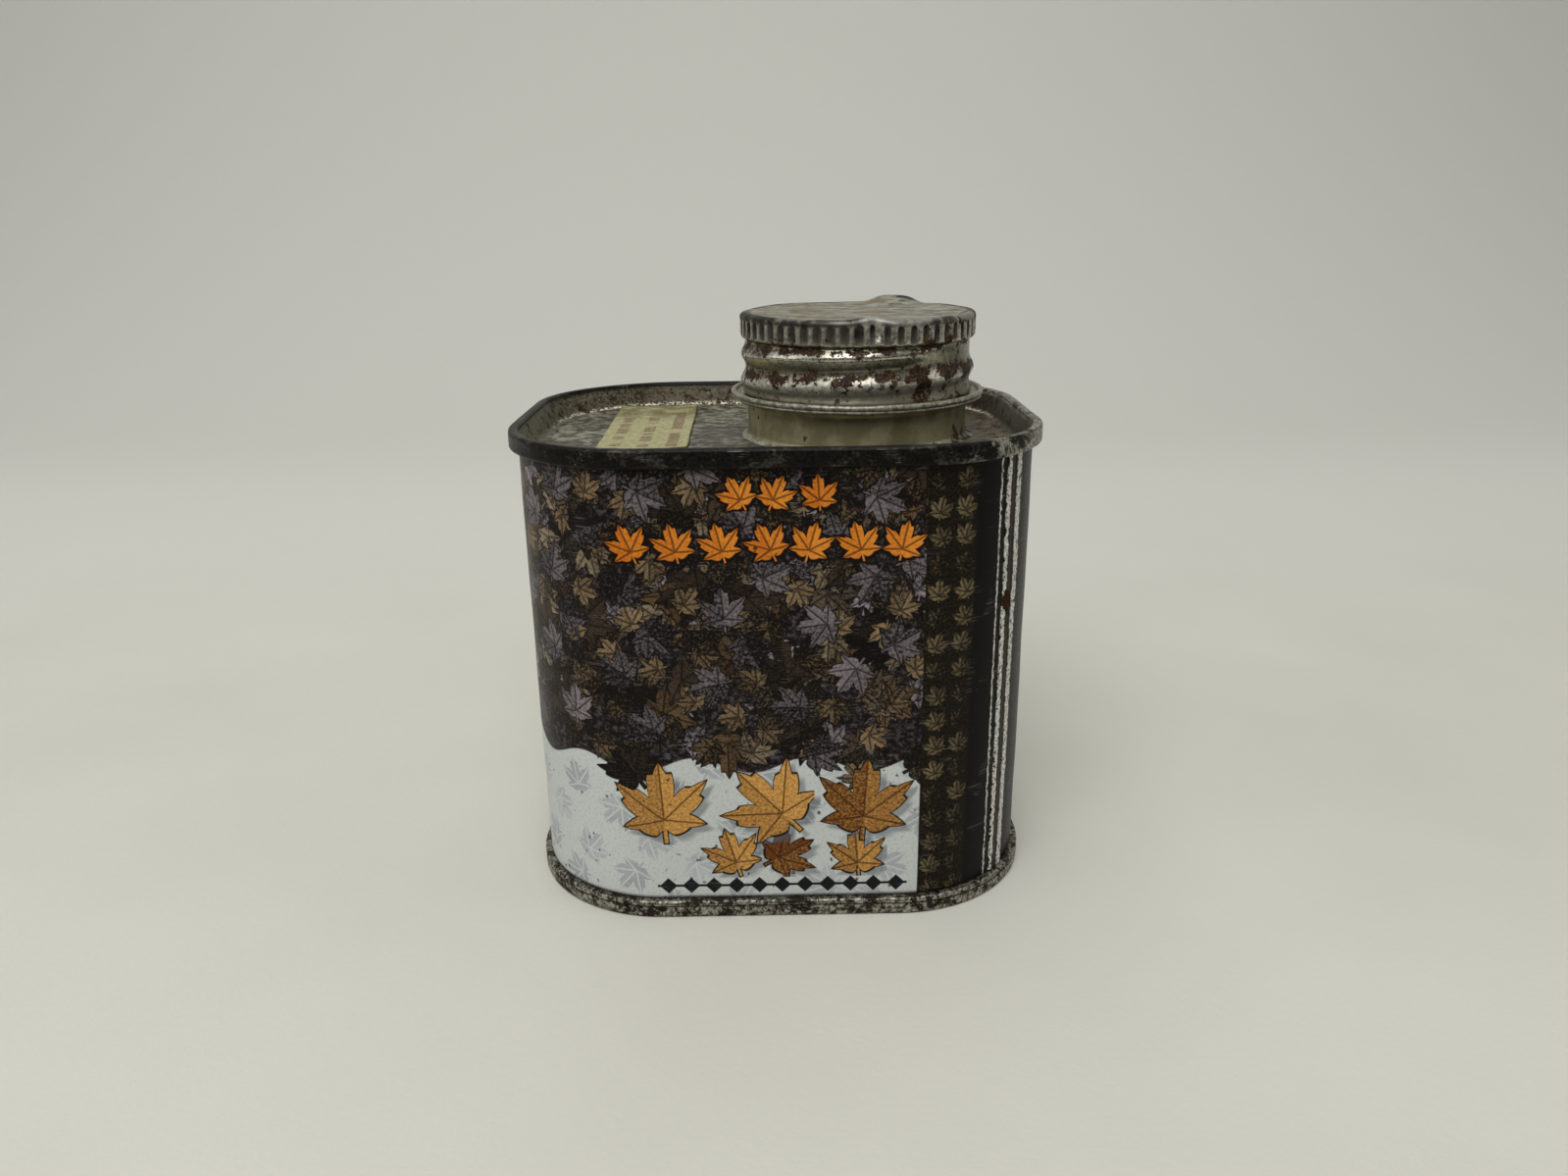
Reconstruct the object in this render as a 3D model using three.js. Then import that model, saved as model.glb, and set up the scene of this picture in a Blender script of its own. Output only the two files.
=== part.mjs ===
// A half-pint syrup tin: a printed sheet-metal body with rounded corners, a seamed end at the top and
// another at the bottom, a soldered neck with a dished flange, a knurled screw cap with a dented top,
// and a paper price label stuck beside the neck. The shut tin is solid inside.
// Millimetres, +Z up. The origin is on the table, under the middle of the tin. The front faces -Y.
import * as THREE from "three";
import { mergeVertices } from "three/addons/utils/BufferGeometryUtils.js";

// Body: a rounded rectangle that stands between the two ends.
const BODY_WIDTH = 73.5;
const BODY_DEPTH = 57.6;
const CORNER_RADIUS = 19.6;
const CORNER_STEPS = 10;

// Ends: each is a plate, sunk below a double seam that stands proud of the body.
const TIN_HEIGHT = 69.1;
const TOP_SEAM_HEIGHT = 2.6;
const TOP_SEAM_REACH = 1.25;
const BOTTOM_SEAM_HEIGHT = 2.65;
const BOTTOM_SEAM_REACH = 1.0;
const SEAM_THICKNESS = 1.45;
const SEAM_ROUND = 0.45;
const TOP_SINK = 3.7;
const BOTTOM_SINK = 2.3;
const SINK_FOOT = 2.0;
const PLATE_THICKNESS = 0.4;
const PLATE_Z = TIN_HEIGHT - TOP_SINK;

// Side seam: the sheet's lap, a raised strip down the front right corner, placed by its angle there.
const LAP_FROM_DEG = 42;
const LAP_TO_DEG = 50;
const LAP_EDGE_DEG = 1;
const LAP_RELIEF = 0.3;

// Neck: a short tube on the plate, flared into a flange with a rolled edge. Heights are above the plate.
const SPOUT_X = 12.25;
const NECK_RADIUS = 16.35;
const NECK_STEPS = 48;
const SOLDER_FOOT = 0.8;
const FLARE_START = 5.0;
const FLANGE_FLOOR = 6.2;
const FLANGE_RADIUS = 18.85;
const ROLL_RADIUS = 0.5;

// Cap: a skirt with a rolled right-hand thread under a knurled band. Heights are above the plate.
const CAP_GAP = 0.3;
const CAP_HEIGHT = 18.1;
const SKIRT_RADIUS = 16.55;
const SKIRT_FOOT_RADIUS = 17.0;
const KNURL_RADIUS = 17.4;
const KNURL_LOW = 14.7;
const KNURL_HIGH = 17.2;
const KNURL_COUNT = 56;
const KNURL_DEPTH = 0.45;
const THREAD_PITCH = 3.75;
const THREAD_TOP = 13.5;
const THREAD_TURNS = 1.6;
const THREAD_START_DEG = -48;
const THREAD_RELIEF = 0.7;
const THREAD_HALF_WIDTH = 1.0;
const THREAD_FADE = 0.08;
const THREAD_ROWS = 11;

// Dents in the cap's top edge: where each one is, how high it lifts the edge and how far it spreads.
const CAP_DENTS = [
  { x: 7.0, y: 15.2, lift: 1.0, spread: 3.6 },
  { x: 0.8, y: -16.9, lift: 0.5, spread: 2.2 },
];
const DENT_FROM = 17.0;

// Price label: a strip of paper on the plate, left of the neck.
const LABEL_WIDTH = 13.1;
const LABEL_LENGTH = 37;
const LABEL_THICKNESS = 0.2;
const LABEL_X = -19.5;
const LABEL_Y = 5.4;
const LABEL_TURN_DEG = 0.9;

// The body's outline moved outwards by offset, anticlockwise from the right-hand side. The corner angles
// can be given for the front right corner, with a relief at each one, to raise the side seam there.
function outline(offset, z, seamAngles = null, relief = () => 0) {
  const corners = [
    [1, 1, 0],
    [-1, 1, 90],
    [-1, -1, 180],
    [1, -1, 270],
  ];
  const evenAngles = Array.from({ length: CORNER_STEPS + 1 }, (_, i) => (90 * i) / CORNER_STEPS);
  const points = [];
  for (const [sideX, sideY, start] of corners) {
    const isSeamCorner = seamAngles && sideX > 0 && sideY < 0;
    for (const angle of isSeamCorner ? seamAngles : evenAngles) {
      const radius = CORNER_RADIUS + offset + (isSeamCorner ? relief(angle) : 0);
      const turn = THREE.MathUtils.degToRad(start + angle);
      const centreX = sideX * (BODY_WIDTH / 2 - CORNER_RADIUS);
      const centreY = sideY * (BODY_DEPTH / 2 - CORNER_RADIUS);
      points.push(
        new THREE.Vector3(centreX + radius * Math.cos(turn), centreY + radius * Math.sin(turn), z),
      );
    }
  }
  return points;
}

// A closed solid through a stack of outlines, from its underside to its top, with both ends filled in.
function loft(rings) {
  const count = rings[0].length;
  const vertices = rings.flat();
  const first = vertices.push(new THREE.Vector3(0, 0, rings[0][0].z)) - 1;
  const last = vertices.push(new THREE.Vector3(0, 0, rings.at(-1)[0].z)) - 1;
  const top = (rings.length - 1) * count;
  const index = [];
  for (let k = 0; k < count; k++) {
    const next = (k + 1) % count;
    index.push(first, next, k, last, top + k, top + next);
    for (let ring = 0; ring < rings.length - 1; ring++) {
      const low = ring * count;
      const high = low + count;
      index.push(low + k, low + next, high + next, low + k, high + next, high + k);
    }
  }
  const geometry = new THREE.BufferGeometry().setFromPoints(vertices);
  geometry.setIndex(index);
  geometry.computeVertexNormals();
  return geometry;
}

// A solid of revolution about +Z, from a profile of [radius, height] that starts and ends on the axis.
function turned(profile, steps) {
  const points = profile.map(([radius, height]) => new THREE.Vector2(radius, height));
  const geometry = new THREE.LatheGeometry(points, steps).rotateX(Math.PI / 2);
  geometry.deleteAttribute("normal");
  geometry.deleteAttribute("uv");
  const merged = mergeVertices(geometry, 1e-3);
  merged.computeVertexNormals();
  return merged;
}

// Points on an arc of [radius, height], from one angle to another in degrees, both ends included.
function arc(centre, radius, fromDeg, toDeg, steps) {
  return Array.from({ length: steps + 1 }, (_, i) => {
    const angle = THREE.MathUtils.degToRad(fromDeg + ((toDeg - fromDeg) * i) / steps);
    return [centre[0] + radius * Math.cos(angle), centre[1] + radius * Math.sin(angle)];
  });
}

function metal(colour, roughness, metalness) {
  return new THREE.MeshStandardMaterial({ color: colour, roughness, metalness });
}

function named(name, geometry, material) {
  const mesh = new THREE.Mesh(geometry, material);
  mesh.name = name;
  return mesh;
}

// The printed body, with the lap of its side seam.
function makeBody() {
  const even = Array.from({ length: CORNER_STEPS + 1 }, (_, i) => (90 * i) / CORNER_STEPS);
  const lap = [LAP_FROM_DEG - LAP_EDGE_DEG, LAP_FROM_DEG, LAP_TO_DEG, LAP_TO_DEG + LAP_EDGE_DEG];
  const clear = even.filter((angle) => angle < lap[0] - LAP_EDGE_DEG || angle > lap[3] + LAP_EDGE_DEG);
  const angles = [...clear, ...lap].sort((a, b) => a - b);
  const onLap = (angle) => angle >= LAP_FROM_DEG && angle <= LAP_TO_DEG;
  const relief = (angle) => (onLap(angle) ? LAP_RELIEF : 0);
  const levels = [BOTTOM_SEAM_HEIGHT, PLATE_Z - PLATE_THICKNESS];
  return loft(levels.map((z) => outline(0, z, angles, relief)));
}

// The top end: its plate, the sloping wall up from it, and the double seam over the body's edge.
function makeTopEnd() {
  const seamLow = TIN_HEIGHT - TOP_SEAM_HEIGHT;
  const seamIn = TOP_SEAM_REACH - SEAM_THICKNESS;
  const round = SEAM_ROUND;
  const profile = [
    [0, PLATE_Z - PLATE_THICKNESS],
    [0, seamLow],
    [TOP_SEAM_REACH - round, seamLow],
    [TOP_SEAM_REACH, seamLow + round],
    ...arc([TOP_SEAM_REACH - round, TIN_HEIGHT - round], round, 0, 90, 2),
    [seamIn + round, TIN_HEIGHT],
    [seamIn, TIN_HEIGHT - round],
    [-SINK_FOOT + SEAM_ROUND, PLATE_Z + SEAM_ROUND],
    [-SINK_FOOT, PLATE_Z],
  ];
  return loft(profile.map(([offset, z]) => outline(offset, z)));
}

// The bottom end: the same seam turned downwards round a shallower plate.
function makeBottomEnd() {
  const seamIn = BOTTOM_SEAM_REACH - SEAM_THICKNESS;
  const round = SEAM_ROUND;
  const profile = [
    [-SINK_FOOT, BOTTOM_SINK],
    [-SINK_FOOT + SEAM_ROUND, BOTTOM_SINK - SEAM_ROUND],
    [seamIn, round],
    [seamIn + round, 0],
    ...arc([BOTTOM_SEAM_REACH - round, round], round, -90, 0, 2),
    [BOTTOM_SEAM_REACH, BOTTOM_SEAM_HEIGHT - round],
    [BOTTOM_SEAM_REACH - round, BOTTOM_SEAM_HEIGHT],
  ];
  return loft(profile.map(([offset, z]) => outline(offset, z)));
}

// The neck: its solder fillet, tube, flare and rolled edge round the dished floor under the cap.
function makeNeck() {
  const rollCentre = [FLANGE_RADIUS - ROLL_RADIUS, FLANGE_FLOOR + ROLL_RADIUS / 2];
  return turned(
    [
      [0, 0],
      [NECK_RADIUS + SOLDER_FOOT, 0],
      [NECK_RADIUS + SOLDER_FOOT / 4, SOLDER_FOOT / 2],
      [NECK_RADIUS, SOLDER_FOOT],
      [NECK_RADIUS, FLARE_START],
      ...arc(rollCentre, ROLL_RADIUS, -100, 140, 6),
      [rollCentre[0] - ROLL_RADIUS, FLANGE_FLOOR],
      [0, FLANGE_FLOOR],
    ],
    NECK_STEPS,
  );
}

// How far the rolled thread stands out at an angle and height: a rounded ridge along a right-hand helix.
function threadRelief(angle, height) {
  const start = THREE.MathUtils.degToRad(THREAD_START_DEG);
  const turn = THREE.MathUtils.euclideanModulo(start - angle, 2 * Math.PI) / (2 * Math.PI);
  let relief = 0;
  for (let lap = 0; turn + lap < THREAD_TURNS; lap++) {
    const along = turn + lap;
    const away = (height - (THREAD_TOP - THREAD_PITCH * along)) / THREAD_HALF_WIDTH;
    const fade = Math.min(1, along / THREAD_FADE, (THREAD_TURNS - along) / THREAD_FADE);
    relief = Math.max(relief, THREAD_RELIEF * fade * Math.exp(-away * away));
  }
  return relief;
}

// The share of the knurl's depth left at an angle and height: full ridges and hollows inside the band.
function knurlRelief(angle, height) {
  const inBand = height > KNURL_LOW && height < KNURL_HIGH;
  return inBand ? (KNURL_DEPTH * (Math.cos(KNURL_COUNT * angle) - 1)) / 2 : 0;
}

// How far the dents lift a point of the cap's top.
function dentLift(x, y, height) {
  if (height < DENT_FROM) return 0;
  return CAP_DENTS.reduce((sum, dent) => {
    const away = Math.hypot(x - dent.x, y - dent.y) / dent.spread;
    return sum + dent.lift * Math.exp(-away * away);
  }, 0);
}

// The cap, turned as a plain shape, then given its thread, its knurl and its dents.
function makeCap() {
  const foot = FLANGE_FLOOR + CAP_GAP;
  const threadLow = foot + 1.0;
  const threadHigh = KNURL_LOW - 0.6;
  const rows = Array.from({ length: THREAD_ROWS }, (_, i) => [
    SKIRT_RADIUS,
    threadLow + ((threadHigh - threadLow) * i) / (THREAD_ROWS - 1),
  ]);
  const edge = 0.9;
  const geometry = turned(
    [
      [0, foot],
      [SKIRT_FOOT_RADIUS, foot],
      ...rows,
      [KNURL_RADIUS - KNURL_DEPTH, KNURL_LOW],
      [KNURL_RADIUS, KNURL_LOW + 0.4],
      [KNURL_RADIUS, KNURL_HIGH - 0.2],
      [KNURL_RADIUS - 0.2, CAP_HEIGHT - 0.45],
      [KNURL_RADIUS - edge, CAP_HEIGHT],
      [KNURL_RADIUS - 2 * edge, CAP_HEIGHT - 0.15],
      [KNURL_RADIUS / 2, CAP_HEIGHT - 0.2],
      [0, CAP_HEIGHT - 0.2],
    ],
    2 * KNURL_COUNT,
  );
  const position = geometry.getAttribute("position");
  for (let i = 0; i < position.count; i++) {
    const [x, y, height] = [position.getX(i), position.getY(i), position.getZ(i)];
    const radius = Math.hypot(x, y);
    if (radius < 1) continue;
    const angle = Math.atan2(y, x);
    const onSkirt = height > foot + 0.5 && height < KNURL_LOW - 0.5;
    const grown = radius + (onSkirt ? threadRelief(angle, height) : knurlRelief(angle, height));
    const lifted = height + dentLift(x, y, height);
    position.setXYZ(i, (x * grown) / radius, (y * grown) / radius, lifted);
  }
  geometry.computeVertexNormals();
  return geometry;
}

function makeLabel() {
  return new THREE.BoxGeometry(LABEL_WIDTH, LABEL_LENGTH, LABEL_THICKNESS);
}

const tin = new THREE.Group();
tin.add(named("body", makeBody(), metal(0x4a4038, 0.35, 0.1)));
tin.add(named("top_end", makeTopEnd(), metal(0x5a5850, 0.45, 0.9)));
tin.add(named("bottom_end", makeBottomEnd(), metal(0x5f5b52, 0.5, 0.9)));

const spout = new THREE.Group();
spout.position.set(SPOUT_X, 0, PLATE_Z);
spout.add(named("neck", makeNeck(), metal(0x807a66, 0.4, 0.9)));
spout.add(named("cap", makeCap(), metal(0x8d897d, 0.35, 0.9)));
tin.add(spout);

const label = named("price_label", makeLabel(), metal(0xcfcd9a, 0.8, 0));
label.position.set(LABEL_X, LABEL_Y, PLATE_Z + LABEL_THICKNESS / 2);
label.rotation.z = THREE.MathUtils.degToRad(LABEL_TURN_DEG);
tin.add(label);

export default tin;
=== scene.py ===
# %% [markdown]
# # A half-pint syrup tin
#
# This lesson dresses a small sheet-metal tin: a printed wall with rounded corners, two seamed ends, a neck
# with a rolled flange, a knurled screw cap that somebody once prised open, and a paper price label. The
# solid model gives the places and the main sizes. Here each solid is replaced by a finer surface of the same
# form, worked out with numpy, and each kind of surface gets a finish of its own, made from shader nodes.

# %% Load the frame
import math

import bpy
import numpy as np
from mathutils import Matrix, Vector


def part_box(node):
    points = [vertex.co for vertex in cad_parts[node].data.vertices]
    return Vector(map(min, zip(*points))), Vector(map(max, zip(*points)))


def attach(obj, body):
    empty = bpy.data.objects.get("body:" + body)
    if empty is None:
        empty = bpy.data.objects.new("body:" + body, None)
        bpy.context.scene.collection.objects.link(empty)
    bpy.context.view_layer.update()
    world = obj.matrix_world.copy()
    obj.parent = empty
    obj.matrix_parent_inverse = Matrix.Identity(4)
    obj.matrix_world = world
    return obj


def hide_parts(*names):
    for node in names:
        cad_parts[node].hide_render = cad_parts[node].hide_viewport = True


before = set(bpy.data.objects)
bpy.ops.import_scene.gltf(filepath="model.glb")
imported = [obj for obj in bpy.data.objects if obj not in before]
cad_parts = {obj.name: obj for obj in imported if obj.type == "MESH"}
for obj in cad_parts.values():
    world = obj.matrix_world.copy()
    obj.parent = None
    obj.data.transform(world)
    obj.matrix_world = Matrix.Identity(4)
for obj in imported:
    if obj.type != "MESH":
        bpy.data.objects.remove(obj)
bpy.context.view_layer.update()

# %% [markdown]
# The solids are in metres, but a tin is easier to think of in millimetres. So the shapes below are worked
# out in millimetres and turned into metres once, when a mesh is filled. The places come from the solids'
# boxes, and what a box can't tell, such as the corner radius, is a named number.

# %% Sizes from the solids
MM = 0.001
CORNER_RADIUS = 19.6


def box_mm(name):
    """The lowest and highest corner of a solid, in millimetres."""
    return [np.array(corner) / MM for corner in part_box(name)]


body_low, body_high = box_mm("body")
_, top_high = box_mm("top_end")
_, bottom_high = box_mm("bottom_end")
neck_low, neck_high = box_mm("neck")
cap_low, cap_high = box_mm("cap")
label_low, label_high = box_mm("price_label")
plate_z = neck_low[2]
spout = (neck_low + neck_high) / 2
print("body", body_high - body_low, "plate at", plate_z, "spout at", spout[:2])

# %% [markdown]
# The tin's outline is a rectangle with round corners. One way is to draw it from separate lines and arcs. A
# shorter way is to walk round it: a centre point slides along the straight runs and waits at each corner,
# while the outward direction waits on the straight runs and turns at the corners. The outline is then the
# centre plus a radius in that direction, and a larger radius gives the same outline moved outwards.

# %% Walk round the outline
flat_x = body_high[0] - CORNER_RADIUS
flat_y = body_high[1] - CORNER_RADIUS
corner_arc = CORNER_RADIUS * math.pi / 2
half_round = [corner_arc, 2 * flat_y, corner_arc]
STOPS = np.cumsum([0, flat_x, *half_round, 2 * flat_x, *half_round, flat_x])
CENTRE_X = flat_x * np.array([0, 1, 1, 1, 1, -1, -1, -1, -1, 0])
CENTRE_Y = flat_y * np.array([-1, -1, -1, 1, 1, 1, 1, -1, -1, -1])
HEADING = np.radians([0, 0, 90, 90, 180, 180, 270, 270, 360, 360])
perimeter = STOPS[-1]


def outline(along, offset):
    """Centre at this distance along, plus (corner radius + offset) times the outward direction there.

    The distance starts at the middle of the front and runs to the right, anticlockwise seen from above.
    """
    along = np.mod(along, perimeter)
    heading = np.interp(along, STOPS, HEADING)
    radius = CORNER_RADIUS + offset
    x = np.interp(along, STOPS, CENTRE_X) + radius * np.sin(heading)
    y = np.interp(along, STOPS, CENTRE_Y) - radius * np.cos(heading)
    return x, y


print("the outline is", round(perimeter, 1), "mm long")

# %% [markdown]
# Every metal piece here is a stack of rings: a profile, the cut through the sheet, is carried round the tin
# or round the spout. These helpers draw profiles from straight runs, arcs and soft bends, space their points
# evenly, and turn the rings into one closed mesh, with a fan of triangles over each end or with the last
# ring joined to the first.

# %% Profiles
SAME_POINT = 1e-6


def arc(centre, radius, start, stop, count=12):
    """Centre plus radius times (cosine, sine) of angles in degrees, evenly spaced from start to stop."""
    angle = np.radians(np.linspace(start, stop, count))
    return np.column_stack([centre[0] + radius * np.cos(angle), centre[1] + radius * np.sin(angle)])


def bend(start, corner, stop, count=12):
    """A soft bend: the quadratic curve that leaves start towards the corner and arrives at stop from it."""
    share = np.linspace(0, 1, count)[:, None]
    first, middle, last = np.array(start), np.array(corner), np.array(stop)
    return (1 - share) ** 2 * first + 2 * share * (1 - share) * middle + share**2 * last


def profile(*runs, step):
    """The runs joined end to end, with points spaced evenly along the whole length, about a step apart."""
    points = np.vstack([np.atleast_2d(run) for run in runs])
    gaps = np.hypot(*np.diff(points, axis=0).T)
    points = points[np.append(True, gaps > SAME_POINT)]
    at = np.append(0, np.cumsum(np.hypot(*np.diff(points, axis=0).T)))
    even = np.linspace(0, at[-1], max(2, round(at[-1] / step) + 1))
    return np.column_stack([np.interp(even, at, points[:, 0]), np.interp(even, at, points[:, 1])])


print("a quarter turn as an arc ends at", arc((0, 0), 1, 0, 90)[-1].round(3))


# %% Rings into a mesh
def ring_mesh(name, rings, ends="fans"):
    """A closed mesh from an array of rows, columns and x, y, z, where each row is a ring round the piece.

    Neighbours in the array make four-sided faces. With fans, each end ring is closed to its own middle.
    With a loop, the last ring is joined to the first.
    """
    rows, columns, _ = rings.shape
    row = np.arange(rows if ends == "loop" else rows - 1)[:, None]
    column = np.arange(columns)[None, :]
    nearer = row * columns
    further = (row + 1) % rows * columns
    beside = (column + 1) % columns
    corners = [nearer + column, nearer + beside, further + beside, further + column]
    faces = np.stack(corners, axis=-1).reshape(-1, 4).tolist()
    points = rings.reshape(-1, 3)
    if ends == "fans":
        first, last = len(points), len(points) + 1
        points = np.vstack([points, rings[0].mean(axis=0), rings[-1].mean(axis=0)])
        top = (rows - 1) * columns
        start = np.column_stack([np.full(columns, first), beside[0], column[0]])
        stop = np.column_stack([np.full(columns, last), top + column[0], top + beside[0]])
        faces += start.tolist() + stop.tolist()
    mesh = bpy.data.meshes.new(name)
    mesh.from_pydata((points * MM).tolist(), [], faces)
    mesh.shade_smooth()
    return mesh


def mark(mesh, name, values):
    """Gives each point of the mesh a number under this name. The middles of the fans repeat the last one."""
    values = np.asarray(values, dtype=np.float32).ravel()
    padded = np.append(values, np.full(len(mesh.vertices) - len(values), values[-1]))
    mesh.attributes.new(name, "FLOAT", "POINT").data.foreach_set("value", padded.astype(np.float32))


def place_piece(mesh, material, node):
    """Puts a mesh into the scene as the piece that stands for a solid, riding with the tin."""
    mesh.materials.append(material)
    piece = bpy.data.objects.new(mesh.name, mesh)
    bpy.context.scene.collection.objects.link(piece)
    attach(piece, "root")
    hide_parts(node)
    triangles = sum(len(face.vertices) - 2 for face in mesh.polygons)
    print(mesh.name, "has", len(mesh.vertices), "points and", triangles, "triangles")


# %% [markdown]
# Sheet metal is never quite flat. A sum of a few slow waves with fixed directions makes a gentle unevenness
# that is the same each run, and that bends reflections the way thin tin does.

# %% Unevenness of thin sheet
WAVE_TURNS = np.array([0.3, 1.4, 2.2, 2.9, 0.9])
WAVE_LENGTHS = np.array([41.0, 29.0, 21.0, 15.0, 10.0])
WAVE_STARTS = np.array([0.0, 1.7, 3.1, 4.6, 0.8])
WAVE_GAIN = 1.6


def uneven(across, up):
    """The mean of five sine waves, each along its own direction, times a gain: between about -1 and 1."""
    total = np.zeros(np.broadcast(across, up).shape)
    for turn, length, start in zip(WAVE_TURNS, WAVE_LENGTHS, WAVE_STARTS):
        far = across * math.cos(turn) + up * math.sin(turn)
        total = total + np.sin(2 * math.pi * far / length + start)
    return total / len(WAVE_TURNS) * WAVE_GAIN


print("unevenness at the origin:", uneven(0.0, 0.0))

# %% [markdown]
# Materials are trees of nodes. A small helper class keeps them readable: each method adds one node or a
# short chain, joins sockets or sets plain values, and gives back the new socket. Colours are written as the
# eye sees them and turned into the light values that the shader needs.


# %% A helper for shader nodes
def paint(red, green, blue):
    """A colour from 0 to 255 as the eye sees it, turned into light: the usual screen curve, undone."""
    seen = np.array([red, green, blue]) / 255
    light = np.where(seen <= 0.04045, seen / 12.92, ((seen + 0.055) / 1.055) ** 2.4)
    return (*light.tolist(), 1.0)


class Wiring:
    """Adds shader nodes to one tree. Inputs are sockets or plain values, and results are sockets."""

    def __init__(self, tree):
        self.tree = tree

    def join(self, node, inputs):
        """Links the inputs that are sockets and sets those that are plain values."""
        for key, value in inputs.items():
            if isinstance(value, bpy.types.NodeSocket):
                self.tree.links.new(value, node.inputs[key])
            else:
                node.inputs[key].default_value = value

    def add(self, kind, inputs=None, **settings):
        node = self.tree.nodes.new("ShaderNode" + kind)
        for setting, value in settings.items():
            setattr(node, setting, value)
        self.join(node, inputs or {})
        return node

    def math(self, operation, *values):
        return self.add("Math", dict(enumerate(values)), operation=operation).outputs[0]

    def chain(self, operation, values):
        """Any number of values put together by one operation, two at a time."""
        total = values[0]
        for value in values[1:]:
            total = self.math(operation, total, value)
        return total

    def times(self, *values):
        return self.chain("MULTIPLY", values)

    def plus(self, *values):
        return self.chain("ADD", values)

    def most(self, *values):
        return self.chain("MAXIMUM", values)

    def least(self, *values):
        return self.chain("MINIMUM", values)

    def less(self, first, second):
        return self.math("SUBTRACT", first, second)

    def rest(self, share):
        """What a share leaves of one."""
        return self.less(1.0, share)

    def absolute(self, value):
        return self.math("ABSOLUTE", value)

    def weigh(self, *pairs):
        """The sum of each value times its weight."""
        return self.plus(*[self.times(value, weight) for value, weight in pairs])

    def far(self, x, y):
        """The distance from zero: the root of x times x plus y times y."""
        return self.math("SQRT", self.plus(self.times(x, x), self.times(y, y)))

    def blend(self, share, first, second):
        """A colour between the first, at a share of 0, and the second, at 1."""
        return self.add("Mix", {0: share, 6: first, 7: second}, data_type="RGBA").outputs[2]

    def over(self, under, ink, *shares):
        """An ink laid over a colour, as thickly as the product of the shares."""
        return self.blend(self.times(*shares), under, ink)

    def level(self, share, first, second):
        """A number between the first, at a share of 0, and the second, at 1."""
        return self.add("Mix", {0: share, 2: first, 3: second}, data_type="FLOAT").outputs[0]

    def step(self, value, low, high):
        """A smooth rise from 0 at low to 1 at high. It falls where low is the larger."""
        inputs = {"Value": value, "From Min": low, "From Max": high}
        return self.add("MapRange", inputs, interpolation_type="SMOOTHSTEP").outputs[0]

    def band(self, value, low, high, soft):
        """A mask of 1 between low and high, with soft edges."""
        rise = self.step(value, low - soft, low + soft)
        return self.times(rise, self.step(value, high + soft, high - soft))

    def stretch(self, vector, amounts):
        return self.add("VectorMath", {0: vector, 1: amounts}, operation="MULTIPLY").outputs[0]

    def turn(self, vector, angle):
        """A vector turned about the Z axis."""
        inputs = {"Vector": vector, "Angle": angle}
        return self.add("VectorRotate", inputs, rotation_type="Z_AXIS").outputs[0]

    def noise(self, vector, scale, detail=4.0, rough=0.55):
        inputs = {"Vector": vector, "Scale": scale, "Detail": detail, "Roughness": rough}
        return self.add("TexNoise", inputs).outputs[0]

    def split(self, vector):
        return self.add("SeparateXYZ", {0: vector}).outputs

    def combine(self, x, y, z):
        return self.add("CombineXYZ", {0: x, 1: y, 2: z}).outputs[0]

    def read(self, name):
        return self.add("Attribute", attribute_name=name).outputs["Fac"]

    def use(self, group, inputs):
        return self.add("Group", inputs, node_tree=group).outputs

    def curve(self, value, points):
        """A value looked up on a line through points, with straight runs between them."""
        node = self.add("FloatCurve", {"Value": value})
        line = node.mapping.curves[0]
        for point in points[1:-1]:
            line.points.new(*point)
        line.points[0].location = points[0]
        line.points[len(points) - 1].location = points[-1]
        for point in line.points:
            point.handle_type = "VECTOR"
        node.mapping.update()
        return node.outputs[0]

    def place(self):
        """The place on the object, in millimetres."""
        at = self.add("TexCoord").outputs["Object"]
        return self.add("VectorMath", {0: at, "Scale": 1 / MM}, operation="SCALE").outputs[0]

    def bump(self, height, strength, depth_mm):
        inputs = {"Height": height, "Strength": strength, "Distance": depth_mm * MM}
        return self.add("Bump", inputs).outputs[0]


print("a middle grey as light:", round(paint(128, 128, 128)[0], 3))


# %% New groups and materials
def new_group(name, inputs, outputs):
    """An empty node group with named sockets: its wiring, the sockets it is given and those it gives."""
    tree = bpy.data.node_groups.new(name, "ShaderNodeTree")
    for title, kind in inputs.items():
        tree.interface.new_socket(title, in_out="INPUT", socket_type="NodeSocket" + kind)
    for title, kind in outputs.items():
        tree.interface.new_socket(title, in_out="OUTPUT", socket_type="NodeSocket" + kind)
    given = tree.nodes.new("NodeGroupInput").outputs
    result = tree.nodes.new("NodeGroupOutput")
    return Wiring(tree), given, result


def close_group(wiring, result, masks):
    """Joins what a group has worked out to its outputs, and gives the group back."""
    wiring.join(result, masks)
    print("made the group", wiring.tree.name, "with", len(wiring.tree.nodes), "nodes")
    return wiring.tree


def new_material(name):
    """A material with nodes: the material, its wiring and its main shader."""
    material = bpy.data.materials.new(name)
    material.use_nodes = True
    return material, Wiring(material.node_tree), material.node_tree.nodes["Principled BSDF"]


# %% [markdown]
# Old tinplate dulls in clouds, gets fine mottling and dark pits. The ends, the neck and the cap all show
# this at different sizes, and the print chips much as the tin pits. So it is one node group with three
# masks, and each material decides what the masks mean. The pits are cells round scattered points, cut at a
# random distance from the point and bent out of round.

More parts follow.
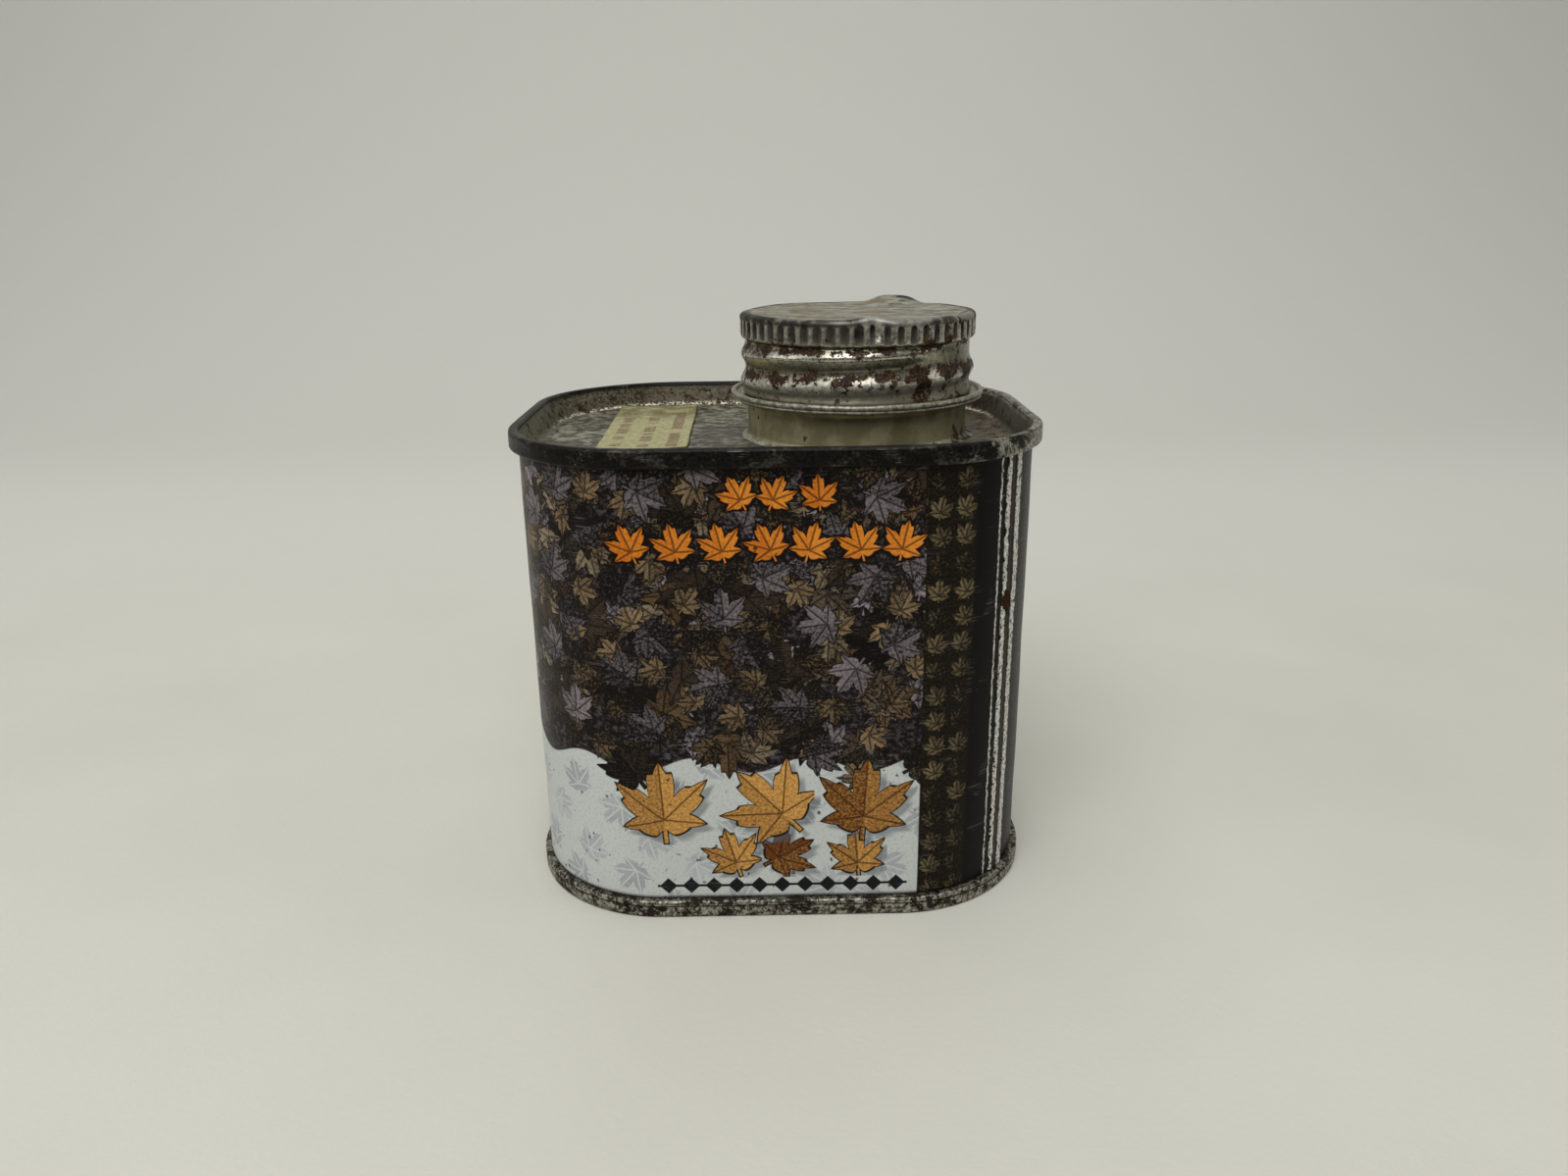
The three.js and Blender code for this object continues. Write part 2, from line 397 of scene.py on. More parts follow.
# %% Tarnish group
MOTTLE_FINER = 7.0
PITS_FINER = 3.2
BEND_FINER = 9.0
PIT_BEND = (0.9, 0.9, 0.9)
LARGEST_PIT = 0.34
wiring, given, result = new_group(
    "tin tarnish",
    {"Place": "Vector", "Size": "Float"},
    {"Clouds": "Float", "Mottle": "Float", "Specks": "Float"},
)
place, size = given["Place"], given["Size"]
clouds = wiring.noise(place, size, 5.0, 0.6)
mottle = wiring.noise(place, wiring.times(size, MOTTLE_FINER), 6.0, 0.72)
bend_noise = wiring.add("TexNoise", {"Vector": place, "Scale": wiring.times(size, BEND_FINER)})
bend_inputs = {0: bend_noise.outputs["Color"], 1: PIT_BEND, 2: place}
pit_at = wiring.add("VectorMath", bend_inputs, operation="MULTIPLY_ADD").outputs[0]
pits = wiring.add("TexVoronoi", {"Vector": pit_at, "Scale": wiring.times(size, PITS_FINER)}).outputs
pit_draw, _, _ = wiring.split(pits["Color"])
pit_size = wiring.times(wiring.step(pit_draw, 0.5, 1.0), LARGEST_PIT)
tarnish_masks = {
    "Clouds": wiring.step(clouds, 0.42, 0.58),
    "Mottle": wiring.step(mottle, 0.4, 0.6),
    "Specks": wiring.step(wiring.less(pit_size, pits["Distance"]), 0.0, 0.07),
}
tarnish = close_group(wiring, result, tarnish_masks)

# %% [markdown]
# Rust starts where the tin coat is thin: in grooves, under edges and round pits. The group cuts a cloudy
# noise at a level, so a larger amount makes more and wider patches. It gives a ragged mask, a softer brown
# halo round it, a colour from near black to red brown, and a crusty height.

# %% Rust group
CRUST_FINER = 7.0
RUST_LEVEL = 0.6
wiring, given, result = new_group(
    "rust",
    {"Place": "Vector", "Size": "Float", "Amount": "Float"},
    {"Mask": "Float", "Halo": "Float", "Colour": "Color", "Height": "Float"},
)
patches = wiring.noise(given["Place"], given["Size"], 6.0, 0.73)
ready = wiring.plus(patches, given["Amount"])
rust_mask = wiring.step(ready, RUST_LEVEL, RUST_LEVEL + 0.018)
crust = wiring.noise(given["Place"], wiring.times(given["Size"], CRUST_FINER), 5.0, 0.7)
rust_masks = {
    "Mask": rust_mask,
    "Halo": wiring.step(ready, RUST_LEVEL - 0.07, RUST_LEVEL + 0.01),
    "Colour": wiring.blend(wiring.step(crust, 0.45, 0.63), paint(20, 14, 8), paint(82, 53, 25)),
    "Height": wiring.times(rust_mask, crust),
}
rust = close_group(wiring, result, rust_masks)

# %% [markdown]
# Handling leaves fine scratches. A noise stretched eighty times longer than it is wide, cut to its thinnest
# level, gives hair lines, and a second noise breaks them up. The print and the bare tin both use it.

# %% Scratch group
SCRATCH_STRETCH = (0.05, 4.0, 4.0)
wiring, given, result = new_group(
    "hair scratches",
    {"Place": "Vector", "Size": "Float"},
    {"Mask": "Float"},
)
lines = wiring.noise(wiring.stretch(given["Place"], SCRATCH_STRETCH), given["Size"], 2.0, 0.5)
thin = wiring.step(wiring.absolute(wiring.less(lines, 0.5)), 0.012, 0.004)
breaks = wiring.noise(given["Place"], wiring.times(given["Size"], 0.6), 2.0, 0.5)
scratch_mask = wiring.times(thin, wiring.step(breaks, 0.56, 0.66))
scratches = close_group(wiring, result, {"Mask": scratch_mask})

# %% [markdown]
# The wall is one printed sheet, bent round the tin and joined by a soldered lap on the front right corner.
# It is a thin shell: the profile runs up the outside and down the inside, and it is carried round the
# outline from the lap to the lap. The columns are closer together near the lap, so that its small step is
# real geometry, and elsewhere close enough for smooth corners.

# %% Wall grid
LAP_AT = 34.2
LAP_ZONE = 4.4
LAP_STEP = 0.2
WALL_STEP = 0.6
WALL_ROWS = 108
SEAM_HEIGHT = 2.6
SEAM_TUCK = 0.25
seam_top_z = top_high[2] - SEAM_HEIGHT
seam_low_z = bottom_high[2]
near_lap = np.arange(0, LAP_ZONE, LAP_STEP)
plain_run = perimeter - 2 * LAP_ZONE
plain_count = round(plain_run / WALL_STEP)
plain = LAP_ZONE + np.arange(plain_count) * plain_run / plain_count
from_lap = np.concatenate([near_lap, plain, perimeter - near_lap[::-1] - LAP_STEP])
wall_along = LAP_AT + from_lap
wall_z = np.linspace(seam_low_z - SEAM_TUCK, seam_top_z + SEAM_TUCK, WALL_ROWS)
print("the wall's grid has", len(wall_along), "columns and", len(wall_z), "rows")

# %% Wall shape
SHEET_THICKNESS = 0.3
SHEET_WAVE = 0.05
INNER_ROWS_APART = 53
LAP_LEFT = 1.8
LAP_RIGHT = 2.1
LAP_EDGE = 0.25
LAP_RISE = 0.24
SOLDER_HALF = 0.45
SOLDER_DIP = 0.1


def lap_relief(away):
    """The lap's step: a strip raised between its left and right edges, less a bell curve for the solder."""
    strip = np.clip((away + LAP_LEFT) / LAP_EDGE, 0, 1) * np.clip((LAP_RIGHT - away) / LAP_EDGE, 0, 1)
    return LAP_RISE * strip - SOLDER_DIP * np.exp(-((away / SOLDER_HALF) ** 2))


away_from_lap = (from_lap + perimeter / 2) % perimeter - perimeter / 2
wall_flat = uneven(wall_along[None, :], wall_z[:, None]) * SHEET_WAVE
wall_offset = wall_flat + lap_relief(away_from_lap)[None, :]
inner_z = wall_z[::-INNER_ROWS_APART]
inner_offset = np.full((len(inner_z), len(wall_along)), -SHEET_THICKNESS)
offsets = np.vstack([wall_offset, inner_offset])
wall_x, wall_y = outline(wall_along[None, :], offsets)
levels = np.broadcast_to(np.append(wall_z, inner_z)[:, None], offsets.shape)
wall_mesh = ring_mesh("printed_wall", np.stack([wall_x, wall_y, levels], axis=-1), ends="loop")
print("the wall runs from", wall_z[0], "to", wall_z[-1], "mm")

# %% [markdown]
# A flat pattern needs flat coordinates. The wall's own map holds millimetres along the sheet and millimetres
# above the table, so a pattern keeps its size and its place. The map is per face corner, because the column
# at the lap is both the start and the end of the sheet.

# %% Wall map
map_along = np.append(wall_along, LAP_AT + perimeter)
map_z = np.append(levels[:, 0], levels[0, 0])
column_pair = np.stack([map_along[:-1], map_along[1:], map_along[1:], map_along[:-1]], axis=-1)
row_pair = np.stack([map_z[:-1], map_z[:-1], map_z[1:], map_z[1:]], axis=-1)
corner_shape = (len(map_z) - 1, len(wall_along), 4)
corner_along = np.broadcast_to(column_pair[None, :, :], corner_shape)
corner_z = np.broadcast_to(row_pair[:, None, :], corner_shape)
map_corners = np.stack([corner_along, corner_z], axis=-1)
sheet_map = wall_mesh.uv_layers.new(name="sheet_mm")
sheet_map.uv.foreach_set("vector", map_corners.astype(np.float32).ravel())
print("the map spans", map_along[0], "to", map_along[-1], "mm along the sheet")

# %% [markdown]
# The print is a plain leaf pattern in the inks of an autumn wood: dark leaves lie thick on the upper part
# and thin out over a pale band with a waved edge, with a few large golden ones on it, two rows of small
# orange ones above and a rule of diamonds below. Thousands of leaves would be slow to draw one by one, so a
# node group draws them all: it cuts the sheet into cells and draws one leaf in each, with a place, a turn
# and a tone drawn at random. Seen from its stalk, the leaf's edge is a radius that rises to a tip in the
# middle of each lobe, so it is a curve of the angle. The group gives distances in millimetres, which stay
# crisp at any size: negative inside the leaf, and zero along its veins.

# %% Leaf cells group
leaf_inputs = ("Along", "Height", "Slant", "Spacing", "Jitter", "Turn", "Lowest", "Thinning", "Seed")
wiring, given, result = new_group(
    "leaf cells",
    {title: "Float" for title in leaf_inputs},
    {"Distance": "Float", "Vein": "Float", "Side": "Float", "Tone": "Float"},
)


def cell_number(length):
    """The number of the cell that a length falls in, with cells centred on whole spacings."""
    return wiring.math("FLOOR", wiring.plus(wiring.math("DIVIDE", length, given["Spacing"]), 0.5))


def drawn(seed_shift):
    """Four random values for the cell, from 0 to 1: three from the colour and one from the value."""
    draw_at = wiring.combine(column_cell, row_cell, wiring.plus(given["Seed"], seed_shift))
    node = wiring.add("TexWhiteNoise", {"Vector": draw_at}, noise_dimensions="3D")
    return *wiring.split(node.outputs["Color"]), node.outputs["Value"]


def from_middle(length, cell, draw):
    """How far a length is from the leaf's own middle, which is off the cell's middle by the jitter."""
    off = wiring.times(wiring.less(draw, 0.5), given["Jitter"])
    return wiring.less(length, wiring.times(wiring.plus(cell, off), given["Spacing"]))


sheet_place = wiring.combine(given["Along"], given["Height"], 0.0)
cell_along, cell_up, _ = wiring.split(wiring.turn(sheet_place, given["Slant"]))
column_cell = cell_number(cell_along)
row_cell = cell_number(cell_up)
draw_x, draw_y, draw_turn, draw_tone = drawn(0.0)
kept_draw = drawn(0.5)[0]
leaf_x = from_middle(cell_along, column_cell, draw_x)
leaf_y = from_middle(cell_up, row_cell, draw_y)
print("each leaf cell is set by", len(leaf_inputs), "values")

# %% Leaf outline
LEAF_EDGE = [
    (0.0, 1.0), (0.04, 0.8), (0.075, 0.82), (0.14, 0.42), (0.19, 0.66),
    (0.225, 0.7), (0.267, 0.97), (0.31, 0.7), (0.345, 0.72), (0.44, 0.4),
    (0.5, 0.52), (0.556, 0.66), (0.62, 0.42), (0.85, 0.3), (1.0, 0.08),
]
LEAF_SHARE = 0.66
STALK_AT = 0.38
STALK_HALF = 0.03
STALK_LENGTH = 0.42
EDGE_SLANT = 0.55
leaf_size = wiring.times(given["Spacing"], wiring.rest(given["Jitter"]), LEAF_SHARE)
leaf_turn = wiring.times(wiring.less(draw_turn, 0.5), given["Turn"])
turned_x, turned_y, _ = wiring.split(wiring.turn(wiring.combine(leaf_x, leaf_y, 0.0), leaf_turn))
from_stalk = wiring.plus(turned_y, wiring.times(leaf_size, STALK_AT))
leaf_angle = wiring.math("ARCTAN2", turned_x, from_stalk)
half_turns = wiring.times(wiring.absolute(leaf_angle), 1 / math.pi)
leaf_far = wiring.far(turned_x, from_stalk)
leaf_edge = wiring.times(leaf_size, wiring.curve(half_turns, LEAF_EDGE))
leaf_gap = wiring.times(wiring.less(leaf_far, leaf_edge), EDGE_SLANT)
stalk_side = wiring.less(wiring.absolute(turned_x), wiring.times(leaf_size, STALK_HALF))
stalk_end = wiring.less(wiring.times(from_stalk, -1.0), wiring.times(leaf_size, STALK_LENGTH))
stalk = wiring.most(stalk_side, stalk_end, from_stalk)
print("the leaf's edge has", len(LEAF_EDGE), "points in half a turn")

# %% Leaf veins and thinning
LOBE_TIPS = (0.0, 0.267, 0.556)
FAR_OFF = 100.0
vein_away = wiring.least(1.0, *[wiring.absolute(wiring.less(half_turns, tip)) for tip in LOBE_TIPS])
cell_rise = wiring.times(row_cell, wiring.math("COSINE", given["Slant"]))
cell_lean = wiring.times(column_cell, wiring.math("SINE", given["Slant"]))
cell_height = wiring.times(wiring.less(cell_rise, cell_lean), given["Spacing"])
above_lowest = wiring.less(cell_height, given["Lowest"])
crowded = wiring.plus(wiring.math("DIVIDE", above_lowest, given["Thinning"]), 0.5)
missing = wiring.math("GREATER_THAN", kept_draw, crowded)
leaf_masks = {
    "Distance": wiring.plus(wiring.least(leaf_gap, stalk), wiring.times(missing, FAR_OFF)),
    "Vein": wiring.times(vein_away, leaf_far, math.pi),
    "Side": wiring.step(leaf_angle, -0.03, 0.03),
    "Tone": draw_tone,
}
leaf_cells = close_group(wiring, result, leaf_masks)

# %% [markdown]
# The wall's finish is ink on tin under a thin gloss varnish. The colour is built up as a printer would lay
# it down: the ground first, then layer over layer of leaves, then the ornament, then the borders beside the
# lap, where the sheet was left bare for solder. Bare tin is metal, and ink isn't, so the same masks also set
# the metallic value.

# %% Ground inks
BAND_TOP = 24.0
BAND_WAVE = 1.2
BAND_WAVES = 14
printed, wall, wall_shader = new_material("printed tinplate")
sheet_at = wall.add("UVMap", uv_map="sheet_mm").outputs[0]
sheet_s, sheet_z, _ = wall.split(sheet_at)
panel_x = wall.math("WRAP", sheet_s, perimeter / 4, -perimeter / 4)
grain = wall.step(wall.noise(sheet_at, 2.4, 5.0, 0.72), 0.38, 0.62)
shadow = wall.step(wall.noise(sheet_at, 1.1, 6.0, 0.7), 0.45, 0.7)
picture = wall.blend(shadow, paint(17, 12, 11), paint(88, 79, 80))
wave_turn = wall.times(sheet_s, 2 * math.pi * BAND_WAVES / perimeter)
band_edge = wall.plus(wall.times(wall.math("SINE", wave_turn), BAND_WAVE), BAND_TOP)
pale_band = wall.step(wall.less(sheet_z, band_edge), 0.15, -0.15)
pale_ink = wall.over(paint(200, 204, 200), paint(146, 150, 150), wall.step(grain, 0.6, 1.0), 0.3)
print("the pale band reaches", BAND_TOP, "mm up, with", BAND_WAVES, "waves round the tin")

# %% Leaf inks
EVERYWHERE = -1000.0


def inked(distance, reach=0.0, softness=0.07):
    """The mask of a printed shape: 1 inside its edge, 0 outside, with a soft edge and a chosen reach."""
    return wall.step(distance, reach + softness, reach - softness)


def leaf_layer(along, height, spacing, seed, slant=0.0, jitter=0.0, turn=2 * math.pi,
               lowest=EVERYWHERE, thinning=1.0):
    """The inputs for one layer of leaf cells, which thins out round its lowest height."""
    values = (along, height, slant, spacing, jitter, turn, lowest, thinning, seed)
    return dict(zip(leaf_inputs, values))


def print_leaves(under, cells, dark, light, line, border=0.16, edge=paint(17, 12, 10)):
    """Prints a layer of leaves over what is there: a border, a tone by leaf, half and grain, and veins."""
    leaf = wall.use(leaf_cells, cells)
    tone = wall.plus(wall.weigh((leaf["Tone"], 0.7), (leaf["Side"], 0.22), (grain, 0.5)), -0.42)
    ink = wall.over(wall.blend(tone, dark, light), line, wall.step(leaf["Vein"], 0.2, 0.07), 0.75)
    bordered = wall.over(under, edge, inked(leaf["Distance"], border))
    return wall.over(bordered, ink, inked(leaf["Distance"]))


PALE_INKS = (paint(158, 164, 167), paint(194, 198, 197), paint(206, 209, 205))
pale_cells = leaf_layer(sheet_s, sheet_z, 7.6, 2.0, slant=0.6, jitter=0.15)
pale_leaves = print_leaves(pale_ink, pale_cells, *PALE_INKS, border=0.0, edge=paint(176, 181, 182))
picture = wall.over(picture, pale_leaves, pale_band)
print("printed the pale band with", len(PALE_INKS), "inks for its leaves")

# %% Carpet of dark leaves
# Each layer has a spacing, a lowest height, a slant, and the inks of its darkest and lightest leaves
CARPET = [
    (9.6, 30.0, 0.3, paint(14, 9, 7), paint(112, 96, 80)),
    (7.4, 29.0, 1.1, paint(26, 21, 25), paint(172, 160, 166)),
    (10.4, 29.0, 0.8, paint(13, 8, 6), paint(112, 88, 62)),
    (8.2, 28.0, 0.1, paint(18, 13, 10), paint(160, 142, 116)),
    (11.6, 30.0, 1.4, paint(10, 7, 5), paint(76, 62, 50)),
    (6.4, 27.0, 0.5, paint(20, 14, 10), paint(152, 128, 96)),
    (8.8, 30.0, 1.0, paint(16, 12, 12), paint(146, 136, 138)),
]
CARPET_THINNING = 13.0
CARPET_SEED = 3.0
for layer, (spacing, lowest, slant, dark, light) in enumerate(CARPET):
    seed = CARPET_SEED + layer
    cells = leaf_layer(sheet_s, sheet_z, spacing, seed, slant, 0.22, lowest=lowest, thinning=CARPET_THINNING)
    picture = print_leaves(picture, cells, dark, light, paint(16, 11, 9))
print("layers of dark leaves:", len(CARPET))

# %% Golden and orange leaves
# Each row has a height, a spacing, a shift to the right, a number of leaves across, and a seed
GOLDEN_ROWS = [(10.4, 9.0, 1.6, 3, 7.0), (18.8, 14.6, -2.6, 3, 13.0)]
ORANGE_ROWS = [(63.3, 5.4, 0.0, 3, 21.0), (56.7, 6.1, -1.6, 7, 24.0)]
GOLDEN_INKS = (paint(96, 54, 20), paint(226, 170, 92), paint(58, 30, 12))
ORANGE_INKS = (paint(190, 100, 22), paint(236, 152, 56), paint(64, 30, 10))
SHADE_SHIFT = 0.9


def within(length, half):
    """A mask that is 1 where a length lies within a half range of zero."""
    return wall.math("LESS_THAN", wall.absolute(length), half)


def row_of_leaves(row_z, spacing, shift, count, seed, turn, jitter):
    """The cells of a single row, counted from its own middle, and the mask of the leaves that stay."""
    row_x = wall.plus(panel_x, -shift)
    row_y = wall.plus(sheet_z, -row_z)
    in_row = wall.times(within(row_y, spacing / 2), within(row_x, count / 2 * spacing))
    return leaf_layer(row_x, row_y, spacing, seed, jitter=jitter, turn=turn), in_row


for row in GOLDEN_ROWS:
    cells, in_row = row_of_leaves(*row, turn=2.2, jitter=0.06)
    shade_x = wall.plus(cells["Along"], -SHADE_SHIFT)
    shade_y = wall.plus(cells["Height"], SHADE_SHIFT)
    shade = wall.use(leaf_cells, cells | {"Along": shade_x, "Height": shade_y})["Distance"]
    shaded = wall.over(picture, paint(92, 97, 104), inked(shade, 0.1, 0.4), 0.6)
    picture = wall.over(picture, print_leaves(shaded, cells, *GOLDEN_INKS, border=0.2), in_row)
for row in ORANGE_ROWS:
    cells, in_row = row_of_leaves(*row, turn=1.0, jitter=0.0)
    picture = wall.over(picture, print_leaves(picture, cells, *ORANGE_INKS, border=0.35), in_row)
print("rows of larger leaves:", len(GOLDEN_ROWS) + len(ORANGE_ROWS))

# %% Rule of diamonds
RULE_Z = 4.7
RULE_STEP = 3.3
RULE_HALF = 18.1
DIAMOND_HALF = 1.3
DASH_FROM = 0.9
DASH_HALF = 0.2
rule_x = wall.absolute(wall.math("WRAP", panel_x, RULE_STEP / 2, -RULE_STEP / 2))
rule_y = wall.absolute(wall.less(sheet_z, RULE_Z))
diamond = wall.times(wall.plus(rule_x, rule_y, -DIAMOND_HALF), 0.7)
dash = wall.most(wall.less(rule_y, DASH_HALF), wall.less(DASH_FROM, rule_x))
rule_end = wall.less(wall.absolute(panel_x), RULE_HALF)
rule_away = wall.most(wall.least(diamond, dash), rule_end)
picture = wall.over(picture, paint(26, 26, 30), inked(rule_away))
print("a diamond every", RULE_STEP, "mm")

# %% [markdown]
# On each side of the lap the printer stopped the pattern with two columns of small olive leaves, and a field
# of black lies between them. The lap itself shows bare tin in narrow strips with ragged edges, a dull line
# of solder and a few rust spots.

# %% Borders and lap
STRIP_MIDDLE = 10.8
STRIP_HALF = 3.8
STRIP_SEED = 31.0
STRIP_INKS = (paint(24, 19, 12), paint(128, 113, 82), paint(14, 10, 7))
FIELD_HALF = 7.3
BARE_STRIPS = [(-3.1, -2.8), (-1.75, -1.1), (0.4, 1.5)]
SOLDER_STRIP = (-1.1, 0.4)
RAGGED_BY = 1.6
wrapped = wall.math("WRAP", wall.less(sheet_s, LAP_AT), perimeter / 2, -perimeter / 2)
ragged = wall.noise(wall.stretch(sheet_at, (1.0, 0.6, 1.0)), 1.6, 6.0, 0.75)
lap_x = wall.plus(wrapped, wall.times(wall.less(ragged, 0.5), RAGGED_BY))
strip_x = wall.less(wall.absolute(wrapped), STRIP_MIDDLE)
strip_cells = leaf_layer(wall.plus(strip_x, STRIP_HALF / 2), sheet_z, STRIP_HALF, STRIP_SEED, turn=0.9)
strip_ground = wall.blend(grain, paint(7, 5, 3), paint(36, 30, 20))
strip_ink = print_leaves(strip_ground, strip_cells, *STRIP_INKS, border=0.0)
picture = wall.over(picture, strip_ink, wall.band(strip_x, -STRIP_HALF, STRIP_HALF, 0.1))
picture = wall.over(picture, paint(10, 9, 7), wall.band(wrapped, -FIELD_HALF, FIELD_HALF, 0.3))
bare = wall.plus(*[wall.band(lap_x, *strip, 0.05) for strip in BARE_STRIPS])
solder = wall.band(lap_x, *SOLDER_STRIP, 0.08)
print("bare strips at the lap:", len(BARE_STRIPS))

# %% [markdown]
# Last comes wear: pin-prick chips through the ink, hair scratches that run round the tin, a dark band of
# dirt and painted shade, with rust, in the corner under the top seam and above the bottom one, and rust that
# creeps along the lap, with one large spot on it.

# %% Wall wear
LAP_SPOT = (-0.75, 45.8)
TOP_SEAM_BAND = 1.1
FOOT_SEAM_BAND = 0.7
tarnished = wall.use(tarnish, {"Place": sheet_at, "Size": 0.34})
low_down = wall.step(sheet_z, 26.0, 8.0)
chipped = wall.step(wall.plus(tarnished["Clouds"], wall.times(low_down, 0.3)), 0.75, 1.0)
chips = wall.times(tarnished["Specks"], chipped)
scratch = wall.use(scratches, {"Place": sheet_at, "Size": 0.5})["Mask"]
under_top_seam = wall.step(sheet_z, seam_top_z - TOP_SEAM_BAND, seam_top_z)
above_foot_seam = wall.step(sheet_z, seam_low_z + FOOT_SEAM_BAND, seam_low_z + 0.1)
seam_dirt_and_shade = wall.plus(under_top_seam, above_foot_seam)
in_lap = wall.band(wrapped, -2.2, 2.4, 0.3)
spot_z = wall.times(wall.less(sheet_z, LAP_SPOT[1]), 0.6)
spot = wall.step(wall.far(wall.less(lap_x, LAP_SPOT[0]), spot_z), 1.25, 0.8)
rust_amount = wall.plus(wall.weigh((seam_dirt_and_shade, 0.09), (in_lap, 0.05), (spot, 0.3)), -0.08)
wall_rust = wall.use(rust, {"Place": sheet_at, "Size": 0.6, "Amount": rust_amount})
rusty = wall_rust["Mask"]
print("the lap's rust spot is", LAP_SPOT[1], "mm up")

# %% Wall colours and shader
strip_dirt = wall.step(ragged, 0.55, 0.6)
tin_ink = wall.blend(tarnished["Mottle"], paint(178, 176, 168), paint(236, 235, 230))
tin_ink = wall.over(tin_ink, paint(46, 41, 35), strip_dirt)
solder_ink = wall.blend(grain, paint(24, 21, 18), paint(58, 52, 44))
# a dark band under the top seam and above the bottom one: dirt and painted shade in the corners
ink_worn = wall.over(picture, paint(26, 20, 15), seam_dirt_and_shade, 0.8)
ink_worn = wall.over(ink_worn, paint(30, 26, 24), chips, 0.85)
ink_worn = wall.over(ink_worn, paint(170, 166, 158), scratch, 0.24)
metal_share = wall.least(wall.plus(bare, solder), 1.0)
surface = wall.over(ink_worn, wall.over(tin_ink, solder_ink, solder), metal_share)
relief = wall.weigh((grain, 0.1), (wall_rust["Height"], 1.2), (chips, -0.6))
wall_finish = {
    "Base Color": wall.over(surface, wall_rust["Colour"], rusty),
    "Metallic": wall.times(bare, wall.rest(rusty), wall.rest(strip_dirt), 0.6),
    "Roughness": wall.plus(wall.level(metal_share, 0.3, 0.4), wall.weigh((rusty, 0.4), (grain, 0.12))),
    "Normal": wall.bump(relief, 0.3, 0.05),
    "Specular IOR Level": 0.1,
}
wall.join(wall_shader, wall_finish)
place_piece(wall_mesh, printed, "body")

# %% [markdown]
# Each end of the tin is a plate pressed down inside a double seam: the end's edge is rolled together with
# the wall's edge and flattened into a stout rim. The profile goes round that rim and down the sloping inner
# wall to the plate, and the plate itself is filled with rings that shrink towards its middle.

# %% End grids
END_COLUMNS = 420
PLATE_RINGS = 44
INNERMOST = 0.02
PLATE_EASE = 6
PLATE_WAVE = 0.13
SEAM_STEP = 0.13
end_along = np.arange(END_COLUMNS) * perimeter / END_COLUMNS


def end_rings(cut):
    """A profile of offset and height, carried round the outline: one ring for each of its points."""
    x, y = outline(end_along[None, :], cut[:, :1])
    z = np.broadcast_to(cut[:, 1:], x.shape)
    return np.stack([x, y, z], axis=-1)


def plate_rings(edge, height):
    """The last ring shrunk towards the middle, step by step, with the height eased into the plate's wave."""
    share = np.linspace(1, INNERMOST, PLATE_RINGS + 1)[1:, None]
    x = edge[None, :, 0] * share
    y = edge[None, :, 1] * share
    ease = np.clip((1 - share) * PLATE_EASE, 0, 1)
    return np.stack([x, y, height + PLATE_WAVE * ease * uneven(x, y)], axis=-1)


print("an end has", END_COLUMNS, "columns and", PLATE_RINGS, "rings in its plate")

# %% Top end shape
HIDDEN_EDGE = -3.0
PLATE_EDGE = -2.7
SEAM_BACK = -0.36
END_SHEET = 0.32
HEM_ROUND = 0.3
RIM_WAVE = 0.06
rim_top = top_high[2]
reach = top_high[0] - body_high[0]
under = rim_top - SEAM_HEIGHT
plate_back = plate_z - END_SHEET
top_cut = profile(
    [(HIDDEN_EDGE, plate_back), (-1.75, plate_back), (-0.5, under - 0.1), (SEAM_BACK, under)],
    [(reach - HEM_ROUND, under)],
    arc((reach - HEM_ROUND, under + HEM_ROUND), HEM_ROUND, -90, 0),
    bend((reach, under + 0.35), (reach, under + 1.2), (reach - 0.02, rim_top - 0.6)),
    arc((reach - 0.55, rim_top - 0.55), 0.53, 3, 90),
    arc((reach - 0.95, rim_top - 0.5), 0.5, 90, 185),
    bend((-1.42, plate_z + 0.75), (-1.72, plate_z), (PLATE_EDGE, plate_z), 16),
    step=SEAM_STEP,
)
top_rings = end_rings(top_cut)
rim_wobble = RIM_WAVE * uneven(end_along[None, :] * 0.7, top_cut[:, 1:] * 3)
top_rings[:, :, 2] += rim_wobble * np.clip((top_cut[:, 1:] - under + 0.4) / 0.4, 0, 1)
top_mesh = ring_mesh("upper_end", np.concatenate([top_rings, plate_rings(top_rings[-1], plate_z)]))
print("the rim is", SEAM_HEIGHT, "mm high and reaches", round(reach, 2), "mm past the wall")

# %% Bottom end shape
BOTTOM_PLATE = 2.3
FOOT_ROUND = 0.45
GROOVE_DOWN = 0.85
GROOVE_HALF = 0.2
GROOVE_DEPTH = 0.14
foot_reach = bottom_high[0] - body_high[0]
foot_top = bottom_high[2]
groove_z = foot_top - GROOVE_DOWN
bottom_cut = profile(
    bend((PLATE_EDGE, BOTTOM_PLATE), (-1.7, BOTTOM_PLATE), (-1.4, BOTTOM_PLATE - 0.7), 16),
    arc((0.0, FOOT_ROUND), FOOT_ROUND, 185, 270),
    arc((foot_reach - FOOT_ROUND, FOOT_ROUND), FOOT_ROUND, -90, 0),
    [(foot_reach, groove_z - GROOVE_HALF), (foot_reach - GROOVE_DEPTH, groove_z)],
    [(foot_reach, groove_z + GROOVE_HALF)],
    arc((foot_reach - HEM_ROUND, foot_top - HEM_ROUND), HEM_ROUND, 0, 90),
    [(SEAM_BACK, foot_top), (HIDDEN_EDGE, foot_top + 0.02)],
    step=SEAM_STEP,
)
bottom_rings = end_rings(bottom_cut)
under_plate = plate_rings(bottom_rings[0], BOTTOM_PLATE)[::-1]
bottom_mesh = ring_mesh("lower_end", np.concatenate([under_plate, bottom_rings]))
print("the bottom end reaches", round(foot_reach, 2), "mm past the wall")

# %% Zones of an end
SLOPE_FOOT = 1.9


